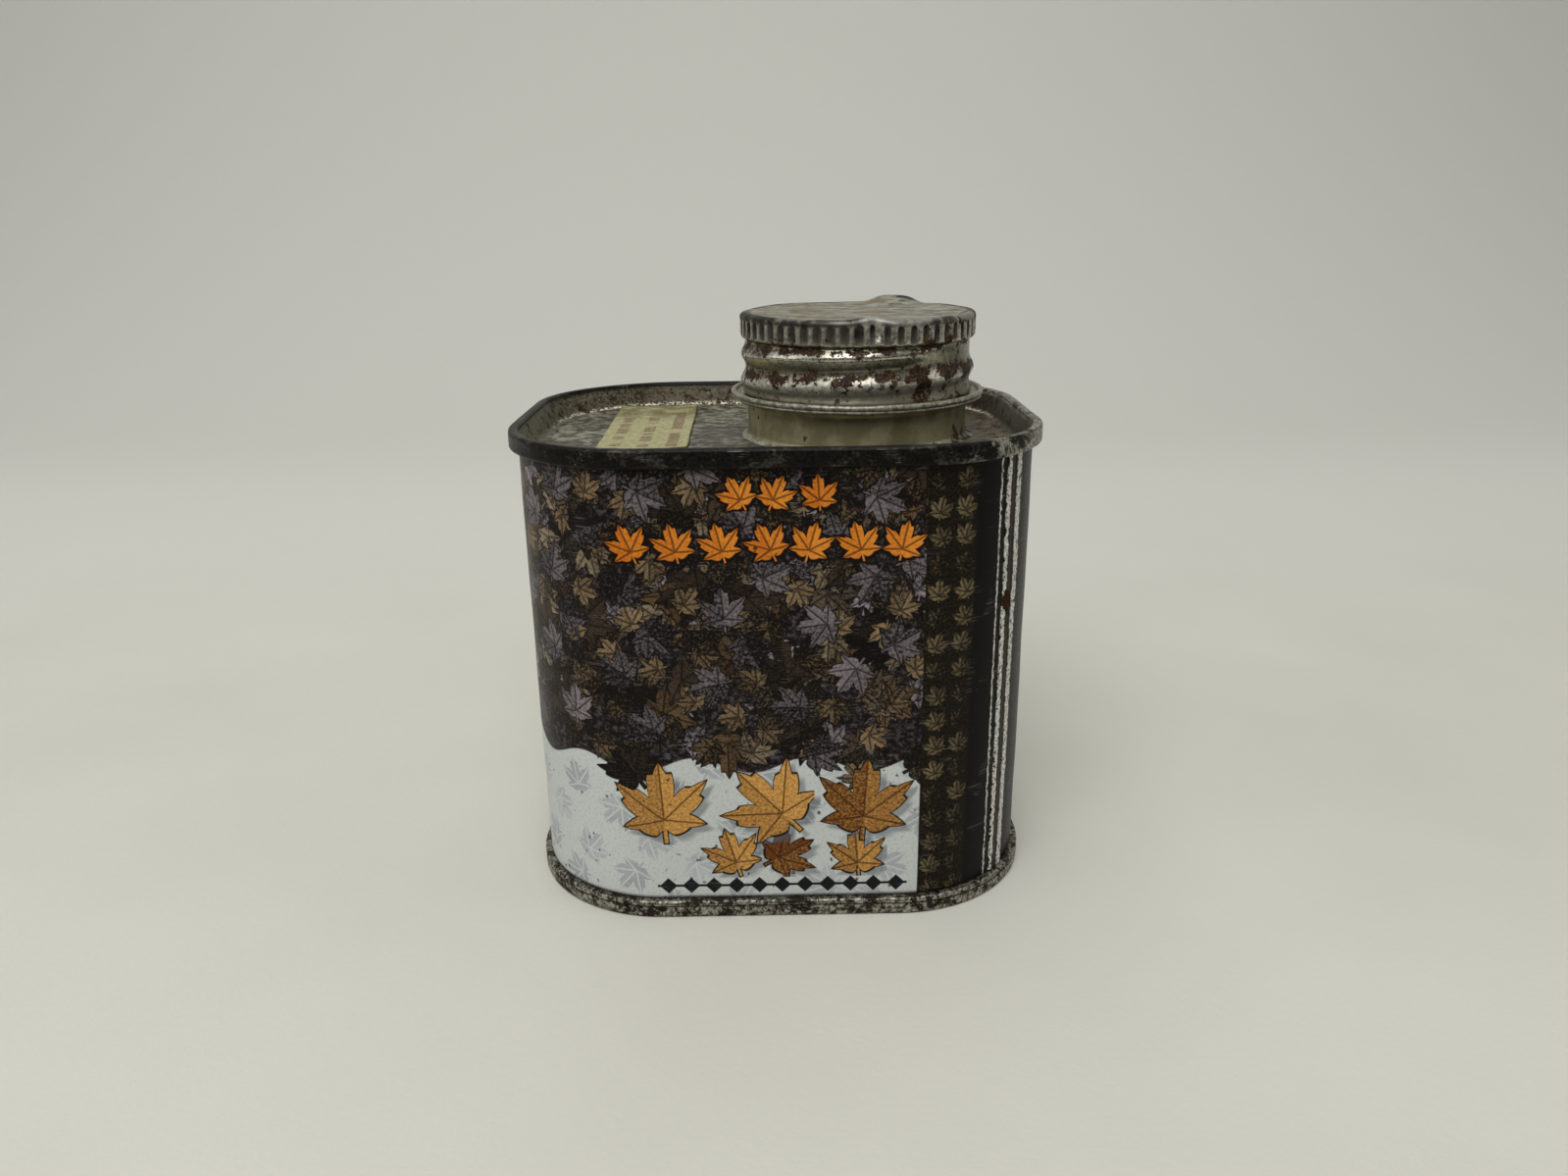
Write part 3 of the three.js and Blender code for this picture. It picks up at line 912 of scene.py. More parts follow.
def mark_zones(mesh, cut, own):
    """Marks an end's rim, its plate and its crevice, each from 0 to 1, by where a ring is on the profile."""
    count = len(cut) + PLATE_RINGS
    side = np.full(count, -flat_y)
    side[own] = cut[:, 0]
    plate = np.ones(count)
    plate[own] = np.clip((-cut[:, 0] - SLOPE_FOOT) / 0.5, 0, 1)
    crevice = np.zeros(count)
    crevice[own] = np.exp(-(((cut[:, 0] + SLOPE_FOOT) / 0.25) ** 2))
    zones = {"rim": np.clip((side + 0.45) / 0.3, 0, 1), "plate": plate, "crevice": crevice}
    for name, values in zones.items():
        mark(mesh, name, np.repeat(values[:, None], END_COLUMNS, axis=1))


mark_zones(top_mesh, top_cut, slice(0, len(top_cut)))
mark_zones(bottom_mesh, bottom_cut, slice(PLATE_RINGS, None))
print("each end carries", len(top_mesh.attributes), "attributes")

# %% [markdown]
# The ends were never printed. Their tin has gone dark on the rim, olive brown on the sloping wall, and
# mottled grey on the plate, browner to the right, with paler patches where things stood on it and rubbed it.
# The rim is worn the most at its right end and at the foot. One material does all this: the marks on the
# mesh say where it is, and the shared tarnish and rust groups give the detail.

# %% Rim tones
end_tin, end, end_shader = new_material("tarnished end tin")
end_at = end.place()
end_x, end_y, end_z = end.split(end_at)
on_rim, on_plate, crevice = [end.read(name) for name in ("rim", "plate", "crevice")]
fine = end.use(tarnish, {"Place": end_at, "Size": 0.3})
mottled = fine["Mottle"]
at_foot = end.step(end_z, 12.0, 8.0)
to_corner = end.step(end_x, 21.0, 33.0)
rim_field = end.noise(end.stretch(end_at, (0.7, 0.7, 1.0)), 0.4, 6.0, 0.68)
rim_amount = end.plus(rim_field, end.weigh((to_corner, 0.13), (at_foot, 0.12)))
rim_dark = end.blend(mottled, paint(22, 22, 20), paint(36, 35, 32))
front_pale = end.blend(mottled, paint(38, 37, 33), paint(74, 72, 65))
worn_pale = end.blend(mottled, paint(62, 59, 50), paint(188, 185, 171))
rim_pale = end.over(front_pale, worn_pale, end.most(to_corner, at_foot))
rim_tone = end.over(rim_dark, rim_pale, end.step(rim_amount, 0.52, 0.6))
# a dark line in the foot's shallow groove: painted shade
groove_shade = end.band(end_z, groove_z - 0.1, groove_z + 0.12, 0.08)
rim_tone = end.over(rim_tone, paint(22, 18, 13), groove_shade, 0.9)
print("the groove in the foot is", round(groove_z, 2), "mm up")

# %% Slope and plate tones
coarse = end.use(tarnish, {"Place": end_at, "Size": 0.13})["Clouds"]
to_right = end.step(end_x, 6.0, 34.0)
to_left = end.step(end_x, -18.0, -34.0)
slope_dark = end.blend(to_left, paint(36, 33, 22), paint(62, 58, 43))
slope_light = end.blend(to_left, paint(76, 71, 53), paint(120, 114, 93))
slope_tone = end.blend(mottled, slope_dark, slope_light)
rubbed = end.noise(end.stretch(end_at, (0.8, 1.0, 1.0)), 0.8, 5.0, 0.62)
rubbed_pale = end.step(end.plus(rubbed, end.times(coarse, 0.05)), 0.48, 0.63)
stains = end.step(rubbed, 0.5, 0.4)
plate_tone = end.blend(mottled, paint(64, 60, 47), paint(102, 98, 82))
plate_tone = end.over(plate_tone, paint(40, 36, 27), stains, end.level(coarse, 0.85, 0.4))
plate_tone = end.over(plate_tone, paint(162, 159, 141), rubbed_pale, end.level(coarse, 0.4, 0.85))
plate_tone = end.over(plate_tone, paint(86, 67, 41), to_right, 0.6)
end_tone = end.over(slope_tone, plate_tone, on_plate)
# a pale broken line along the back foot of the sloping wall: a painted highlight
foot_highlight = end.times(crevice, end.step(end_y, 0.0, 20.0), end.step(mottled, 0.2, 0.7))
end_tone = end.over(end_tone, paint(236, 230, 206), foot_highlight)
end_tone = end.over(end_tone, rim_tone, on_rim)
print("the end material has", len(end.tree.nodes), "nodes so far")

# %% End rust, wear and shader
on_slope = end.times(end.rest(on_rim), end.rest(on_plate))
slope_amount = end.level(end.step(end_y, 4.0, 18.0), 0.065, 0.095)
rusty_right = end.times(to_right, on_plate)
end_amount = end.weigh((rusty_right, 0.08), (at_foot, 0.11), (on_slope, slope_amount))
end_rust = end.use(rust, {"Place": end_at, "Size": 0.6, "Amount": end.plus(end_amount, -0.04)})
end_specks = end.times(fine["Specks"], end.rest(end.times(on_plate, 0.5)))
end_scratch = end.use(scratches, {"Place": end_at, "Size": 0.8})["Mask"]
end_colour = end.over(end_tone, paint(30, 25, 19), end_specks, 0.85)
end_colour = end.over(end_colour, paint(176, 172, 160), end_scratch, 0.4)
end_colour = end.over(end_colour, paint(62, 46, 32), end_rust["Halo"], 0.4)
foot_rust = end.over(end_rust["Colour"], paint(20, 15, 10), at_foot, 0.6)
end_relief = end.weigh((mottled, 0.2), (end_specks, -0.8), (end_rust["Height"], 1.4), (rubbed_pale, 0.2))
end_finish = {
    "Base Color": end.over(end_colour, foot_rust, end_rust["Mask"]),
    "Metallic": end.times(end.level(on_rim, 0.5, 0.85), end.rest(end_rust["Mask"])),
    "Roughness": end.plus(end.level(mottled, 0.38, 0.5), end.times(end_rust["Mask"], 0.3)),
    "Normal": end.bump(end_relief, 0.4, 0.06),
    "Specular IOR Level": 0.25,
}
end.join(end_shader, end_finish)
place_piece(top_mesh, end_tin, "top_end")
place_piece(bottom_mesh, end_tin, "bottom_end")

# %% [markdown]
# The neck is a short tube soldered to the plate. Its top is flared into a flange whose edge is rolled up, so
# that drips stay in the gap round the cap. It is a turned piece: a profile of radius and height carried
# round the spout's axis, with a solder fillet at its foot that swells and thins as hand soldering does.

# %% Neck shape
TURN_COLUMNS = 288
NECK_RADIUS = 16.35
HIDDEN_RADIUS = 15.0
FOOT_SINK = 0.15
FILLET = 0.9
TRAY_DEPTH = 0.75
LIP_ROUND = 0.4
NECK_STEP = 0.1
turn_angles = np.arange(TURN_COLUMNS) * 2 * math.pi / TURN_COLUMNS


def turned_rings(radius, height, angles):
    """Rings round the spout: x is its middle plus radius times sine, y its middle less radius by cosine."""
    x = spout[0] + radius * np.sin(angles)
    y = spout[1] - radius * np.cos(angles)
    return np.stack([x, y, np.broadcast_to(height, x.shape)], axis=-1)


flange = (neck_high[0] - neck_low[0]) / 2
lip_z = neck_high[2]
tray_z = lip_z - TRAY_DEPTH
fillet_r = NECK_RADIUS + FILLET
neck_cut = profile(
    [(HIDDEN_RADIUS, plate_z - FOOT_SINK), (fillet_r + 0.05, plate_z - FOOT_SINK), (fillet_r, plate_z)],
    bend((fillet_r, plate_z), (NECK_RADIUS + 0.05, plate_z + 0.1), (NECK_RADIUS, plate_z + FILLET)),
    bend((NECK_RADIUS, lip_z - 2.1), (NECK_RADIUS + 0.1, lip_z - 1.35), (flange - 0.9, lip_z - 1.15)),
    arc((flange - 0.38, lip_z - 0.98), 0.2, -90, 60, 8),
    arc((flange - LIP_ROUND, lip_z - LIP_ROUND), LIP_ROUND, -50, 150, 14),
    bend((flange - 0.78, lip_z - 0.3), (flange - 0.85, tray_z), (flange - 1.6, tray_z)),
    [(HIDDEN_RADIUS, tray_z)],
    step=NECK_STEP,
)
print("the flange is", round(2 * flange, 1), "mm across, with its lip at", round(lip_z, 2))

# %% Neck solder and lip
SOLDER_SWELL = 0.3
LIP_WAVE = 0.05
cut_r, cut_z = neck_cut[:, :1], neck_cut[:, 1:]
at_solder = np.exp(-(((cut_z - plate_z) / 0.5) ** 2))
at_lip = np.clip(cut_z - lip_z + 1.2, 0, 1)
neck_r = cut_r + SOLDER_SWELL * uneven(turn_angles * 9, 4.0)[None, :] * at_solder
neck_z = cut_z + LIP_WAVE * uneven(turn_angles * 14, 1.0)[None, :] * at_lip
neck_mesh = ring_mesh("neck_tube", turned_rings(neck_r, neck_z, turn_angles[None, :]))
flange_mark = np.clip((cut_r - NECK_RADIUS - 0.3) / 0.6, 0, 1) * (cut_z > plate_z + 2)
solder_mark = np.clip(1 - (cut_z - plate_z) / 0.6, 0, 1)
mark(neck_mesh, "flange", np.broadcast_to(flange_mark, neck_r.shape))
mark(neck_mesh, "solder", np.broadcast_to(solder_mark, neck_r.shape))
print("the neck is made of", len(neck_cut), "rings of", TURN_COLUMNS, "points")

# %% [markdown]
# The neck has kept most of its tin. It is smooth and olive, with a few black pin holes, a pale line of
# solder at its foot and rust on the side where syrup ran down.

# %% Neck material
neck_tin, neck, neck_shader = new_material("olive neck tin")
neck_at = neck.place()
neck_x, _, neck_up = neck.split(neck_at)
neck_masks = neck.use(tarnish, {"Place": neck_at, "Size": 0.2})
neck_clouds, neck_mottle = neck_masks["Clouds"], neck_masks["Mottle"]
neck_tone = neck.blend(neck_clouds, paint(132, 125, 95), paint(162, 156, 124))
flange_tone = neck.blend(neck_mottle, paint(104, 100, 86), paint(168, 164, 148))
neck_tone = neck.over(neck_tone, flange_tone, neck.read("flange"))
solder_tone = neck.blend(neck_mottle, paint(100, 96, 82), paint(206, 203, 190))
solder_line = neck.step(neck.read("solder"), 0.2, 0.7)
neck_tone = neck.over(neck_tone, solder_tone, solder_line, neck.level(neck_clouds, 0.35, 1.0))
wet_side = neck.step(neck_x, spout[0] + 6, spout[0] + 15)
wet_foot = neck.times(wet_side, neck.step(neck_up, plate_z + 4, plate_z + 0.5))
neck_amount = neck.plus(neck.times(wet_foot, 0.17), -0.07)
neck_rust = neck.use(rust, {"Place": neck_at, "Size": 0.35, "Amount": neck_amount})
pin_holes = neck.times(neck_masks["Specks"], neck.step(neck_clouds, 0.5, 0.9), 0.9)
neck_colour = neck.over(neck_tone, paint(24, 21, 18), pin_holes)
neck_colour = neck.over(neck_colour, paint(84, 62, 42), neck_rust["Halo"], 0.4)
neck_relief = neck.weigh((neck_mottle, 0.1), (neck_rust["Height"], 1.0), (pin_holes, -0.6))
neck_finish = {
    "Base Color": neck.over(neck_colour, neck_rust["Colour"], neck_rust["Mask"]),
    "Metallic": neck.times(neck.rest(neck_rust["Mask"]), 0.45),
    "Roughness": neck.plus(neck.level(neck_mottle, 0.34, 0.44), neck.times(neck_rust["Mask"], 0.3)),
    "Normal": neck.bump(neck_relief, 0.35, 0.05),
}
neck.join(neck_shader, neck_finish)
place_piece(neck_mesh, neck_tin, "neck")

# %% [markdown]
# The cap is pressed from one disc of tin: a flat top, a knurled band to grip, and a skirt with the thread
# rolled into it. Its profile is turned, and three displacements are added to it as formulas of the angle and
# the height: ribs, a ridge along a helix, and dents. Twelve columns for each rib keep the ribs round.

# %% Cap profile
RIBS = 56
RIB_COLUMNS = 12
CAP_TOP = 83.5
BAND_HEIGHT = 3.5
SKIRT_RADIUS = 16.55
KNURL_RADIUS = 17.4
SHOULDER_ROUND = 0.85
CURL_RADIUS = 17.0
CURL_ROUND = 0.22
TOP_DISH = 0.2
CAP_STEP = 0.24
cap_foot = cap_low[2]
band_z = CAP_TOP - BAND_HEIGHT
cap_cut = profile(
    [(15.4, cap_foot + 0.02), (16.7, cap_foot)],
    arc((CURL_RADIUS - CURL_ROUND, cap_foot + CURL_ROUND), CURL_ROUND, -90, 0, 8),
    bend((CURL_RADIUS, cap_foot + 0.4), (16.72, cap_foot + 1.0), (SKIRT_RADIUS + 0.05, cap_foot + 2.0)),
    [(SKIRT_RADIUS, band_z - 0.9)],
    bend((SKIRT_RADIUS, band_z - 0.7), (SKIRT_RADIUS - 0.1, band_z - 0.25), (16.85, band_z - 0.15)),
    bend((16.95, band_z - 0.1), (KNURL_RADIUS, band_z), (KNURL_RADIUS, band_z + 0.6)),
    arc((KNURL_RADIUS - SHOULDER_ROUND, CAP_TOP - SHOULDER_ROUND), SHOULDER_ROUND, 0, 90, 14),
    bend((16.3, CAP_TOP), (15.7, CAP_TOP), (15.2, CAP_TOP - 0.14)),
    [(12.0, CAP_TOP - TOP_DISH), (0.3, CAP_TOP - TOP_DISH)],
    step=CAP_STEP,
)
cap_columns = RIBS * RIB_COLUMNS
angle_row = np.arange(cap_columns)[None, :] * 2 * math.pi / cap_columns
cap_r, cap_z = cap_cut[:, :1], cap_cut[:, 1:]
print("the cap's grid has", len(cap_cut), "rows and", cap_columns, "columns")

# %% Cap thread and ribs
THREAD_TOP = 78.9
THREAD_PITCH = 3.75
THREAD_START = math.radians(42)
THREAD_TURNS = 1.6
THREAD_RELIEF = 0.72
THREAD_WIDTH = 1.02
RIB_DEPTH = 0.45


def thread_ridge(angle, height):
    """A ridge along a falling helix: for each turn, a bell curve of the height above it, from 0 to 1."""
    turn = np.mod(THREAD_START - angle, 2 * math.pi) / (2 * math.pi)
    ridge = np.zeros(np.broadcast(angle, height).shape)
    for lap in range(math.ceil(THREAD_TURNS)):
        gone = turn + lap
        fade = np.clip(np.minimum(gone / 0.07, (THREAD_TURNS - gone) / 0.12), 0, 1)
        above = (height - (THREAD_TOP - THREAD_PITCH * gone)) / THREAD_WIDTH
        ridge = np.maximum(ridge, fade * np.exp(-(above**2)))
    return ridge


def rib_wave(angle, height):
    """Ribs round the band: a raised cosine of the angle, varied by a slow wave, inside the band."""
    wave = (0.5 + 0.5 * np.cos(RIBS * angle)) ** 0.8
    worn = 0.8 + 0.2 * uneven(angle * 12, 2.0)
    inside = np.clip((height - band_z + 0.05) / 0.5, 0, 1) * np.clip((CAP_TOP - 0.45 - height) / 0.7, 0, 1)
    return (wave * worn - 1) * RIB_DEPTH * inside


on_skirt = np.clip((cap_z - cap_foot - 0.7) / 0.6, 0, 1) * np.clip((band_z - 0.4 - cap_z) / 0.3, 0, 1)
crest = thread_ridge(angle_row, cap_z) * on_skirt
outer_side = cap_r > HIDDEN_RADIUS
print("the thread stands", round(THREAD_RELIEF * float(crest.max()), 2), "mm out of the skirt")

# %% [markdown]
# Somebody prised this cap up: the top edge stands up at the back right with a hollow in front of it, and a
# small nick at the front has crushed a rib or two. Each dent is a bell curve round its place on the edge.

# %% Cap dents
PRISED_AT = math.radians(154.5)
PRISED_SPREAD = math.radians(13)
PRISED_LIFT = 1.0
HOLLOW_SPREAD = math.radians(24)
HOLLOW_RADIUS = 11.5
HOLLOW_WIDTH = 2.6
HOLLOW_DEPTH = 0.4
NICK_AT = math.radians(3)
NICK_SPREAD = math.radians(7)
NICK_LIFT = 0.5
CRUSH_SPREAD = math.radians(5)
CRUSH_DEPTH = 0.38
LOST_RIB_SPREAD = math.radians(2.6)
TOP_WAVE = 0.1


def near(angle, at, spread, power):
    """A bell curve of the angle from a place, flatter on top with a higher power."""
    away = np.angle(np.exp(1j * (angle - at)))
    return np.exp(-(np.abs(away / spread) ** power))


top_share = np.clip((cap_z - CAP_TOP + 2.3) / 2.0, 0, 1)
edge_share = np.clip(cap_r / 16.5, 0, 1.0) ** 7
prised = near(angle_row, PRISED_AT, PRISED_SPREAD, 4) * edge_share
in_hollow = np.exp(-(((cap_r - HOLLOW_RADIUS) / HOLLOW_WIDTH) ** 2))
hollow = near(angle_row, PRISED_AT, HOLLOW_SPREAD, 2) * in_hollow
nick = near(angle_row, NICK_AT, NICK_SPREAD, 2) * edge_share**2
lift = top_share * (PRISED_LIFT * prised - HOLLOW_DEPTH * hollow + NICK_LIFT * nick)
crush = near(angle_row, NICK_AT + 0.03, CRUSH_SPREAD, 2) * np.clip((cap_z - band_z - 0.4) / 1.2, 0, 1)
sag = TOP_WAVE * uneven(cap_r * np.sin(angle_row), cap_r * np.cos(angle_row)) * top_share
ribs = rib_wave(angle_row, cap_z) * (1 - 0.6 * near(angle_row, NICK_AT + 0.05, LOST_RIB_SPREAD, 2))
cap_radius = cap_r + np.where(outer_side, THREAD_RELIEF * crest + ribs - CRUSH_DEPTH * crush, 0)
cap_height = cap_z + lift + sag
cap_mesh = ring_mesh("screw_cap", turned_rings(cap_radius, cap_height, angle_row))
print("the prised edge reaches", round(float(cap_height.max()), 2), "of", round(cap_high[2], 2), "mm")

# %% Cap marks
DRIP_RISE = 1.05
UNDER_THREAD_DROP = 0.95
flat_top = np.clip((15.9 - cap_r) / 0.6, 0, 1) * (cap_z > band_z)
edge_line = np.exp(-(((cap_z - CAP_TOP + 0.4) / 0.16) ** 2)) * outer_side
torn = near(angle_row, NICK_AT - 0.08, math.radians(19), 4) * (0.6 + 0.4 * uneven(angle_row * 60, 5.0))
cap_marks = {
    "under_band": np.exp(-(((cap_z - band_z + 0.3) / 0.45) ** 2)) * outer_side,
    "rib_hollow": np.clip(-ribs / RIB_DEPTH, 0, 1),
    "flat_top": flat_top,
    "crest": crest,
    "shoulder": np.clip((cap_z - CAP_TOP + 1.3) / 0.5, 0, 1) * outer_side * (1 - flat_top),
    "worn_edge": np.clip(edge_line * torn, 0, 1),
    "above_crest": thread_ridge(angle_row, cap_z - DRIP_RISE) * on_skirt,
    "below_crest": thread_ridge(angle_row, cap_z + UNDER_THREAD_DROP) * on_skirt,
}
for mark_name, mark_values in cap_marks.items():
    mark(cap_mesh, mark_name, np.broadcast_to(mark_values, cap_radius.shape))
print("the cap carries marks for", ", ".join(cap_marks))

# %% [markdown]
# The cap is the brightest metal on the tin, because hands kept it polished: the thread's crest is nearly
# bare. The hollows between the ribs are darkened with dirt and painted shade, most towards the top of the
# band, and the line under the thread with painted shade and grime. Rust sits on the thread's upper side and
# under the band, more of it on the right. The flat top is rubbed, with dull brown patches and fine
# scratches, and its edge is worn pale beside the nick.

# %% Cap skirt tones
LOWER_SKIRT = 75.9
cap_tin, cap, cap_shader = new_material("worn cap tin")
cap_at = cap.place()
cap_x, _, cap_up = cap.split(cap_at)
cap_read = {name: cap.read(name) for name in cap_marks}
cap_masks = cap.use(tarnish, {"Place": cap_at, "Size": 0.21})
cap_clouds, cap_mottle = cap_masks["Clouds"], cap_masks["Mottle"]
lower_skirt = cap.step(cap_up, LOWER_SKIRT, LOWER_SKIRT - 1.0)
tin_tone = cap.blend(cap_mottle, paint(116, 111, 93), paint(152, 148, 130))
tin_tone = cap.over(tin_tone, paint(90, 85, 69), cap_clouds, 0.45)
tin_tone = cap.over(tin_tone, paint(120, 115, 97), lower_skirt, 0.6)
# a dark band under each thread crest: painted shade, with some grime
shade_and_grime_under_thread = cap.step(cap_read["below_crest"], 0.45, 0.95)
tin_tone = cap.over(tin_tone, paint(34, 30, 22), shade_and_grime_under_thread, cap.level(cap_mottle, 0.55, 0.9))
rib_crest = cap.times(cap.step(cap_up, band_z - 0.4, band_z + 0.6), cap.rest(cap_read["rib_hollow"]))
polished = cap.most(cap_read["crest"], rib_crest)
tin_tone = cap.over(tin_tone, paint(214, 211, 198), polished, cap.level(cap_mottle, 0.4, 0.95))
print("the cap's tone uses", len(cap_read), "marks")

# %% Cap top tones and dirt
rubbed_top = cap.noise(cap.stretch(cap_at, (0.6, 1.0, 1.0)), 0.7, 5.0, 0.62)
top_tone = cap.blend(cap.step(rubbed_top, 0.38, 0.62), paint(76, 71, 59), paint(184, 181, 165))
top_tone = cap.over(paint(136, 132, 117), top_tone, cap.level(cap_clouds, 0.35, 0.85))
top_patch = cap.step(cap.noise(cap.stretch(cap_at, (0.5, 1.0, 1.0)), 0.24, 5.0, 0.65), 0.5, 0.58)
top_tone = cap.over(top_tone, paint(112, 97, 70), top_patch, 0.7)
top_scratch = cap.use(scratches, {"Place": cap_at, "Size": 0.5})["Mask"]
top_tone = cap.over(top_tone, paint(206, 203, 190), top_scratch, 0.7)
tin_tone = cap.over(tin_tone, top_tone, cap_read["flat_top"])
# the rib hollows, darker towards the top of the band: dirt and painted shade; on the shoulder, tarnish
hollow_dirt_and_shade = cap.times(cap.step(cap_read["rib_hollow"], 0.25, 0.6), cap.level(cap_clouds, 1.0, 0.86))
hollow_dirt_and_shade = cap.times(hollow_dirt_and_shade, cap.level(cap.step(cap_up, band_z + 0.3, band_z + 1.6), 0.8, 1.0))
dirt_and_shade = cap.most(hollow_dirt_and_shade, cap.times(cap_read["shoulder"], cap.level(cap_clouds, 0.55, 0.97)))
tin_tone = cap.over(tin_tone, paint(17, 13, 10), dirt_and_shade)
tin_tone = cap.over(tin_tone, paint(205, 203, 194), cap_read["worn_edge"], 0.85)
print("the cap material has", len(cap.tree.nodes), "nodes so far")

# %% Cap rust and shader
right_side = cap.step(cap_x, spout[0] - 4, spout[0] + 16)
cap_amount = cap.weigh((cap_read["above_crest"], 0.15), (cap_read["under_band"], 0.1), (right_side, 0.05))
cap_amount = cap.plus(cap_amount, cap.weigh((lower_skirt, 0.03), (cap_read["flat_top"], -0.07)), -0.025)
cap_rust = cap.use(rust, {"Place": cap_at, "Size": 0.38, "Amount": cap_amount})
fine_specks = cap.use(tarnish, {"Place": cap_at, "Size": 0.36})["Specks"]
fine_specks = cap.times(fine_specks, cap.level(lower_skirt, 0.4, 0.95))
cap_specks = cap.most(cap_masks["Specks"], fine_specks)
cap_specks = cap.times(cap_specks, cap.rest(cap.times(cap_read["flat_top"], 0.6)))
cap_colour = cap.over(tin_tone, paint(36, 29, 23), cap_specks, 0.85)
cap_colour = cap.over(cap_colour, paint(86, 64, 44), cap_rust["Halo"], 0.35)
dull_top = cap.times(top_patch, cap_read["flat_top"], 0.8)
dull = cap.most(cap_rust["Mask"], dirt_and_shade, cap.times(cap_specks, 0.8), dull_top)
cap_rough = cap.weigh((cap_read["crest"], -0.06), (cap_read["flat_top"], 0.14))
cap_rough = cap.plus(cap_rough, cap.weigh((lower_skirt, 0.14), (dull, 0.3)))
cap_relief = cap.weigh((cap_mottle, 0.15), (cap_rust["Height"], 1.4), (cap_specks, -0.7))
cap_relief = cap.plus(cap_relief, cap.times(rubbed_top, cap_read["flat_top"], 0.8))
cap_shine = cap.less(cap.level(cap_read["flat_top"], 0.9, 0.6), cap.times(lower_skirt, 0.35))
cap_finish = {
    "Base Color": cap.over(cap_colour, cap_rust["Colour"], cap_rust["Mask"]),
    "Metallic": cap.times(cap_shine, cap.rest(dull)),
    "Roughness": cap.plus(cap.level(cap_mottle, 0.22, 0.34), cap_rough),
    "Normal": cap.bump(cap_relief, 0.4, 0.06),
    "Specular IOR Level": 0.2,
}
cap.join(cap_shader, cap_finish)
place_piece(cap_mesh, cap_tin, "cap")

# %% [markdown]
# The price label is a strip of cheap paper. A flat box would look like card, so the sheet is a thin slab
# whose corners lift a little and whose long edges are not quite straight.

# %% Label shape
LABEL_WIDTH = 13.1
LABEL_LENGTH = 37.0
LABEL_TURN = math.radians(0.9)
LABEL_ROWS = 121
LABEL_STEP = 0.3
PAPER = 0.12
CLEAR_OF_PLATE = 0.15
CORNER_LIFT = 0.35
PAPER_WAVE = 0.03
EDGE_WAVE = 0.07
half_width = LABEL_WIDTH / 2
half_length = LABEL_LENGTH / 2
label_mid = (label_low + label_high) / 2
slab_cut = profile(
    [(-half_width, 0.0), (half_width, 0.0), (half_width, PAPER), (-half_width, PAPER), (-half_width, 0.001)],
    step=LABEL_STEP,
)
slab_u, slab_z = slab_cut[:, 0][None, :], slab_cut[:, 1][None, :]
label_v = np.linspace(-half_length, half_length, LABEL_ROWS)[:, None]
label_u = slab_u + EDGE_WAVE * uneven(label_v * 1.6, 3.0) * np.sign(slab_u)
corner_near = (np.abs(label_u) / half_width) ** 6 * (np.abs(label_v) / half_length) ** 14
label_lift = CORNER_LIFT * corner_near + PAPER_WAVE * (1 + uneven(label_u * 2, label_v * 2))
label_x = label_mid[0] + label_u * math.cos(LABEL_TURN) - label_v * math.sin(LABEL_TURN)
label_y = label_mid[1] + label_u * math.sin(LABEL_TURN) + label_v * math.cos(LABEL_TURN)
label_z = plate_z + CLEAR_OF_PLATE + label_lift + slab_z
label_mesh = ring_mesh("paper_label", np.stack([label_x, label_y, label_z], axis=-1)[::-1])
mark(label_mesh, "label_u", label_u[::-1])
mark(label_mesh, "label_v", np.broadcast_to(label_v, label_u.shape)[::-1])
print("the label is", LABEL_WIDTH, "by", LABEL_LENGTH, "mm")

# %% [markdown]
# Aged paper is pale yellow green, darker where glue and dirt came through at the back end. It carries rows
# of plain bars: cells drawn at random along three lines, so they read as faded print without being letters.

# %% Label material
LINE_PLACES = [-4.0, 0.1, 4.2]
LINE_HALF = 0.85
LINE_SEEDS_APART = 3.7
BARS_PER_MM = 0.95
label_paper, label, label_shader = new_material("aged label paper")
label_at = label.place()
label_across = label.read("label_u")
label_along = label.read("label_v")
fibre = label.noise(label.stretch(label_at, (1.0, 0.4, 1.0)), 1.4, 5.0, 0.65)
paper_tone = label.blend(label.step(fibre, 0.3, 0.7), paint(142, 137, 96), paint(172, 168, 127))
stain_cloud = label.step(label.noise(label_at, 0.35, 4.0, 0.6), 0.3, 0.6)
stain = label.times(label.step(label_along, 3.0, 12.0), stain_cloud)
paper_tone = label.over(paper_tone, paint(102, 96, 54), stain, 0.95)
bar_place = label.times(label_along, BARS_PER_MM)
bars = 0.0
for line, line_at in enumerate(LINE_PLACES):
    draw_at = label.combine(label.math("FLOOR", bar_place), line * LINE_SEEDS_APART, 0.0)
    bar_draw = label.add("TexWhiteNoise", {"Vector": draw_at}, noise_dimensions="2D").outputs["Value"]
    in_line = label.band(label_across, line_at - LINE_HALF, line_at + LINE_HALF, 0.12)
    bars = label.plus(bars, label.times(label.step(bar_draw, 0.36, 0.4), in_line))
gaps = label.step(label.math("FRACT", bar_place), 0.2, 0.3)
faded = label.level(label.step(label.noise(label_at, 2.2, 3.0, 0.6), 0.36, 0.6), 0.4, 0.95)
before_end = label.step(label_along, 13.0, 11.0)
label_finish = {
    "Base Color": label.over(paper_tone, paint(98, 54, 42), bars, gaps, faded, before_end),
    "Roughness": label.level(fibre, 0.62, 0.8),
    "Normal": label.bump(fibre, 0.4, 0.04),
}
label.join(label_shader, label_finish)
place_piece(label_mesh, label_paper, "price_label")
